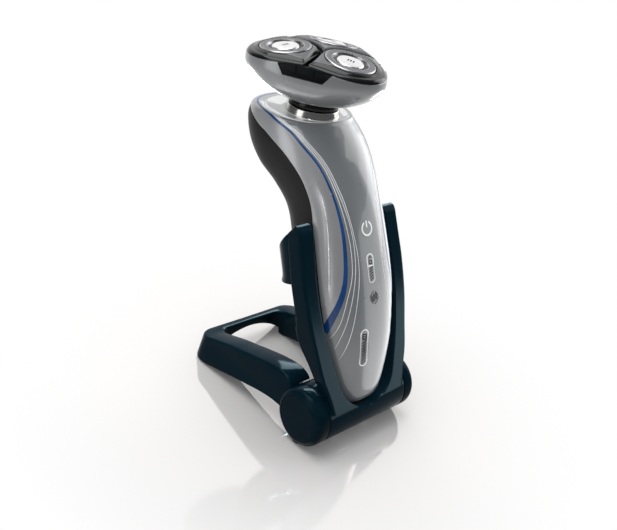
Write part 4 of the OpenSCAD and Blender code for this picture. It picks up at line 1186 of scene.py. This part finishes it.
def build_plate(name, k):
    a = np.radians(np.linspace(0, 360, 240, endpoint=False))
    rows = [plate_row(a, t) for t in np.r_[np.linspace(0, 0.2, 9), np.linspace(0.25, 1, 16)]]
    for degrees in (15, 30, 45, 60, 75, 90):
        t = math.radians(degrees)
        left = 1 - math.sin(t)
        rows.append(plate_edge(a, BAND_IN * left, GAP_IN * left, 2.0 * (1 - math.cos(t))))
    rows += [plate_edge(a, 0.0, 0.0, 2.6), plate_edge(a, 1.6, 1.0, 3.3)]
    rows += [plate_row(a, t, -1.6) for t in (0.95, 0.5, 0.0)]
    sector, body = head_sector(k), "unit_" + name
    piece("plate_body_" + name, Shape(sector).hoop(rows), "plate_black", body, ["plate_" + name], 50)
    # The silver flat lies inside the glossy band and stops short of the dark groove round the guard.
    flat = soft_reach(a, 4.9, 1.0) - PLATE_HOLE
    whole = soft_reach(a, BAND_IN, GAP_IN) - PLATE_HOLE
    near, far = 0.085, np.clip(flat / whole, 0.09, 1)
    rows = [plate_row(a, near + (far - near) * t, lift) for t, lift in FLAT_ROWS]
    piece("plate_flat_" + name, Shape(sector).hoop(rows), "plate_silver", body, sharp=50)


SLOTS = 84
SLOT_DEPTH = 0.55
# The guard's section as (radius, height, 1 where slots cut it).
GUARD = [(0, -2.5, 0), (0, -2.0, 0), (6.5, -2.0, 0), (6.9, -1.4, 0), (7.75, -1.25, 0), (8.1, -0.35, 0),
         (8.35, -0.05, 0), (8.6, 0.02, 0), (8.75, 0.03, 1), (9.3, 0.05, 1), (9.9, 0.05, 1), (10.5, 0.04, 1),
         (10.95, 0.02, 1), (11.1, 0.0, 0), (11.45, -0.15, 0), (11.68, -0.45, 0), (GUARD_R, -1, 0),
         (GUARD_R, -3, 0), (10.9, -3, 0), (10.9, -2.5, 0)]


def build_guard(name, k):
    """A guard ring whose track is cut by fine radial slots, with a sunk dish inside it."""
    pitch = 2 * math.pi / SLOTS
    a = np.array([(i + share) * pitch for i in range(SLOTS) for share in (0, 0.25, 0.5, 0.56, 0.75, 0.94)])
    sunk = np.tile((0, 0, 0, 1, 1, 1), SLOTS)
    rows = [np.stack([r * np.cos(a), r * np.sin(a), z - SLOT_DEPTH * sunk * slotted + 0 * a], -1)
            for r, z, slotted in GUARD]
    uv = [np.stack([a / 2 / math.pi, r + 0 * a], -1) for r, z, slotted in GUARD]
    place, body = head_axis(k), "unit_" + name
    piece("guard_ring_" + name, Shape(place).hoop(rows, uv), "guard_steel", body, ["guard_" + name], 30)
    # A black ring laid in the sunk groove inside the track is painted shade, standing in for the shade that
    # falls in the recess.
    groove = [(6.55, -1.9), (7.7, -1.9), (7.7, -1.15), (6.55, -1.15)]
    piece("guard_groove_" + name, Shape(place).lathe(rounded(groove, 0.1, 2), 96), "plate_black", body)


def build_cap(name, k):
    """A spun cap with three short slots in its middle, whose floors are painted dark as shade."""
    dome = [(0, -1.95), (6.3, -1.95), (6.3, -0.75), (5.95, -0.25), (5.2, -0.04), (3.2, 0.04), (0, 0.08)]
    profile = rounded(dome, [0, 0, 0.3, 0.4, 0.6, 1, 0], 4)
    cap = to_object("cap_disc_" + name, Shape(head_axis(k)).lathe(profile, 128), 40)
    place, middles = head_axis(k) @ turn("Z", 32), (-1.25, 0, 1.25)
    cut(cap, [box_shape(place, (-1.15, y - 0.33, -0.45), (1.15, y + 0.33, 0.5)) for y in middles], 40)
    dress(cap, "cap_steel", "unit_" + name, ["cap_" + name])
    # Dark boxes in the slots are painted shade, standing in for the shade inside the hollows.
    slot_shade = Shape(place)
    for y in middles:
        floor = box_shape(place, (-1.14, y - 0.32, -0.44), (1.14, y + 0.32, -0.12))
        slot_shade.add(floor.points[0], floor.faces)
    piece("cap_slots_" + name, slot_shade, "window_dark", "unit_" + name)


# ---- stage, light and camera ----
def path_is(tree, kind):
    return add_node(tree, "LightPath", output=f"Is {kind} Ray")


def combine(tree, kind, a, b):
    return add_node(tree, "Math", {0: a, 1: b}, operation=kind)


def blend(tree, factor, a, b):
    return add_node(tree, "MixShader", {0: factor, 1: a, 2: b})


def background(tree, colour):
    return add_node(tree, "Background", {"Color": (*colour, 1)})


def stage_material():
    """A pale polished floor, plain white further out, which mirrors what stands on it."""
    material = bpy.data.materials.new("floor_pale")
    tree = tree_of(material)
    spot = add_node(tree, "TexCoord", output="Object")
    rough = varied(tree, noise(tree, spot, 3, 3), 0.07, 0.10)
    shader = tree.nodes["Principled BSDF"]
    feed(tree, shader, {"Base Color": (0.92, 0.90, 0.885, 1), "Metallic": 0.30, "Roughness": rough})
    middle = (0, 0.03, 0)
    far = add_node(tree, "VectorMath", {0: spot, 1: middle}, "Value", operation="DISTANCE")
    away = combine(tree, "MULTIPLY", map_range(tree, far, 0.055, 0.15), path_is(tree, "Camera"))
    white = add_node(tree, "Emission", {"Color": (1, 1, 1, 1)})
    feed(tree, tree.nodes["Material Output"], {"Surface": blend(tree, away, shader.outputs[0], white)})
    return material


def build_stage():
    mesh = bpy.data.meshes.new("floor")
    bm = bmesh.new()
    bmesh.ops.create_circle(bm, cap_ends=True, segments=96, radius=4.0)
    bm.to_mesh(mesh)
    bm.free()
    floor = bpy.data.objects.new("floor", mesh)
    floor.location = (0, 0, -0.0001)
    bpy.context.scene.collection.objects.link(floor)
    floor.data.materials.append(stage_material())


def softbox(name, azimuth, elevation, size, radiance, only=(), target=(0, 0.035, 0.085), tint=(1, 1, 1),
            tilt=0, distance=0.9):
    """A rectangular lamp seen from the target at this azimuth and elevation. If it lights only some pieces,
    nothing else stands in its way."""
    lamp = bpy.data.lights.new(name, "AREA")
    lamp.shape, lamp.size, lamp.size_y = "RECTANGLE", size[0], size[1]
    lamp.energy = radiance * math.pi * size[0] * size[1]
    lamp.color = tint
    obj = bpy.data.objects.new(name, lamp)
    a, e = math.radians(azimuth), math.radians(elevation)
    away = Vector((math.cos(a) * math.cos(e), math.sin(a) * math.cos(e), math.sin(e)))
    obj.location = Vector(target) + away * distance
    obj.rotation_mode = "QUATERNION"
    tilted = Matrix.Rotation(math.radians(tilt), 3, "Z").to_quaternion()
    obj.rotation_quaternion = away.to_track_quat("Z", "Y") @ tilted
    obj.visible_camera = False
    bpy.context.scene.collection.objects.link(obj)
    if only:
        lit = bpy.data.collections.new(name + "_lights")
        for lit_piece in only:
            lit.objects.link(lit_piece)
        obj.light_linking.receiver_collection = lit
        obj.light_linking.blocker_collection = lit
    return obj


HANDLE_PIECES = ("front_panel_skin", "side_skin_left", "side_skin_right", "grip_skin", "trim_band_left",
                 "trim_band_right", "fine_lines_left", "fine_lines_right", "button_face", "status_lens_face",
                 "charge_lens_face", "power_symbol", "printed_white", "printed_pale", "printed_dark")
COOL = (0.66, 0.90, 1.0)


def build_light():
    meshes = [obj for obj in bpy.data.objects if obj.type == "MESH"]
    solid = [obj for obj in meshes if obj.name != "floor"]
    stand = [obj for obj in meshes if MATERIALS["stand_gloss"] in obj.data.materials[:]]
    cradle = [obj for obj in stand if not obj.name.startswith(("base_ring", "knuckle"))]
    handle, bowl, floor = [[bpy.data.objects[name] for name in names]
                           for names in (HANDLE_PIECES, ["bowl_shell"], ["floor"])]
    softbox("right_side", -8, 22, (0.60, 0.75), 1.7, solid)
    softbox("left_side", 172, 20, (0.40, 0.80), 1.5, solid)
    softbox("overhead", 120, 74, (0.9, 0.7), 3.2)
    # The stand's own highlights; the low card reaches a little below the floor.
    softbox("low_card", -47, -1.0, (0.70, 0.157), 10.0, cradle, (0, 0, 0.06), COOL)
    softbox("ring_card", 38, 33, (0.42, 0.34), 17.0, stand, (0, 0.03, 0.02), COOL)
    softbox("stand_overhead", 120, 74, (0.9, 0.7), 4.0, stand, tint=COOL)
    # The handle's and the bowl's; the panel's card reaches below the floor, and the bowl's two lie under it.
    softbox("panel_card", -20, -8, (1.51, 0.96), 1.25, handle)
    softbox("panel_top_card", -10, 25, (0.65, 0.22), 0.8, handle)
    softbox("side_strip", -146, 7, (0.026, 0.36), 16.0, handle, tilt=-22, distance=0.7)
    softbox("top_glow", 44, 30, (0.30, 0.30), 1.7, handle)
    softbox("bowl_right", 12, -25, (0.25, 0.20), 7.0, bowl)
    softbox("bowl_left", 65, -30, (0.25, 0.20), 7.0, bowl)
    # A little light on the floor alone, which casts no shadow there.
    wash = softbox("floor_wash", 0, 88, (1.2, 1.2), 0.35, floor, distance=1.2)
    wash.visible_glossy = False
    build_world()


# The level direction from the front of the object to what lies behind it.
BEHIND = (0.748, 0.663, 0)


def build_world():
    """A plain grey room for the light. What shines sees a white horizon behind the object in a dim room."""
    studio = bpy.data.worlds.new("studio")
    bpy.context.scene.world = studio
    tree = tree_of(studio)
    tree.nodes.remove(tree.nodes["Background"])
    ray = add_node(tree, "TexCoord", output="Generated")
    behind = add_node(tree, "VectorMath", {0: ray, 1: BEHIND}, "Value", operation="DOT_PRODUCT")
    height = add_node(tree, "SeparateXYZ", {0: ray}, "Z")
    bright = combine(tree, "MULTIPLY", map_range(tree, behind, 0.30, 0.62),
                     map_range(tree, height, 0.62, 0.80, 1.0, 0.0))
    white = background(tree, (1, 1, 1))
    seen = blend(tree, bright, background(tree, (0.085, 0.09, 0.095)), white)
    shiny = combine(tree, "MAXIMUM", path_is(tree, "Glossy"), path_is(tree, "Transmission"))
    room = blend(tree, shiny, background(tree, (0.55, 0.555, 0.565)), seen)
    whole = blend(tree, path_is(tree, "Camera"), room, white)
    feed(tree, tree.nodes["World Output"], {"Surface": whole})


CAMERA_PLACE, CAMERA_TURN = (-0.2758, -0.2013, 0.2686), (60.781, -10.510, -42.618)


def build_camera():
    camera = bpy.data.cameras.new("camera")
    camera.lens, camera.sensor_width, camera.clip_start = 49.6, 36, 0.01
    obj = bpy.data.objects.new("camera", camera)
    turned = Euler([math.radians(degrees) for degrees in CAMERA_TURN]).to_matrix()
    obj.matrix_world = Matrix.Translation(CAMERA_PLACE) @ turned.to_4x4()
    bpy.context.scene.collection.objects.link(obj)
    bpy.context.scene.camera = obj
    bpy.context.scene.view_settings.view_transform = "Standard"


build_base()
build_pads()
build_cradle()
build_yoke()
build_front_panel()
build_side_panels()
build_grip()
build_trim()
build_marks()
build_button_and_lenses()
build_neck()
build_bowl()
build_windows()
for head, number in HEADS.items():
    build_plate(head, number)
    build_guard(head, number)
    build_cap(head, number)
build_stage()
build_light()
build_camera()
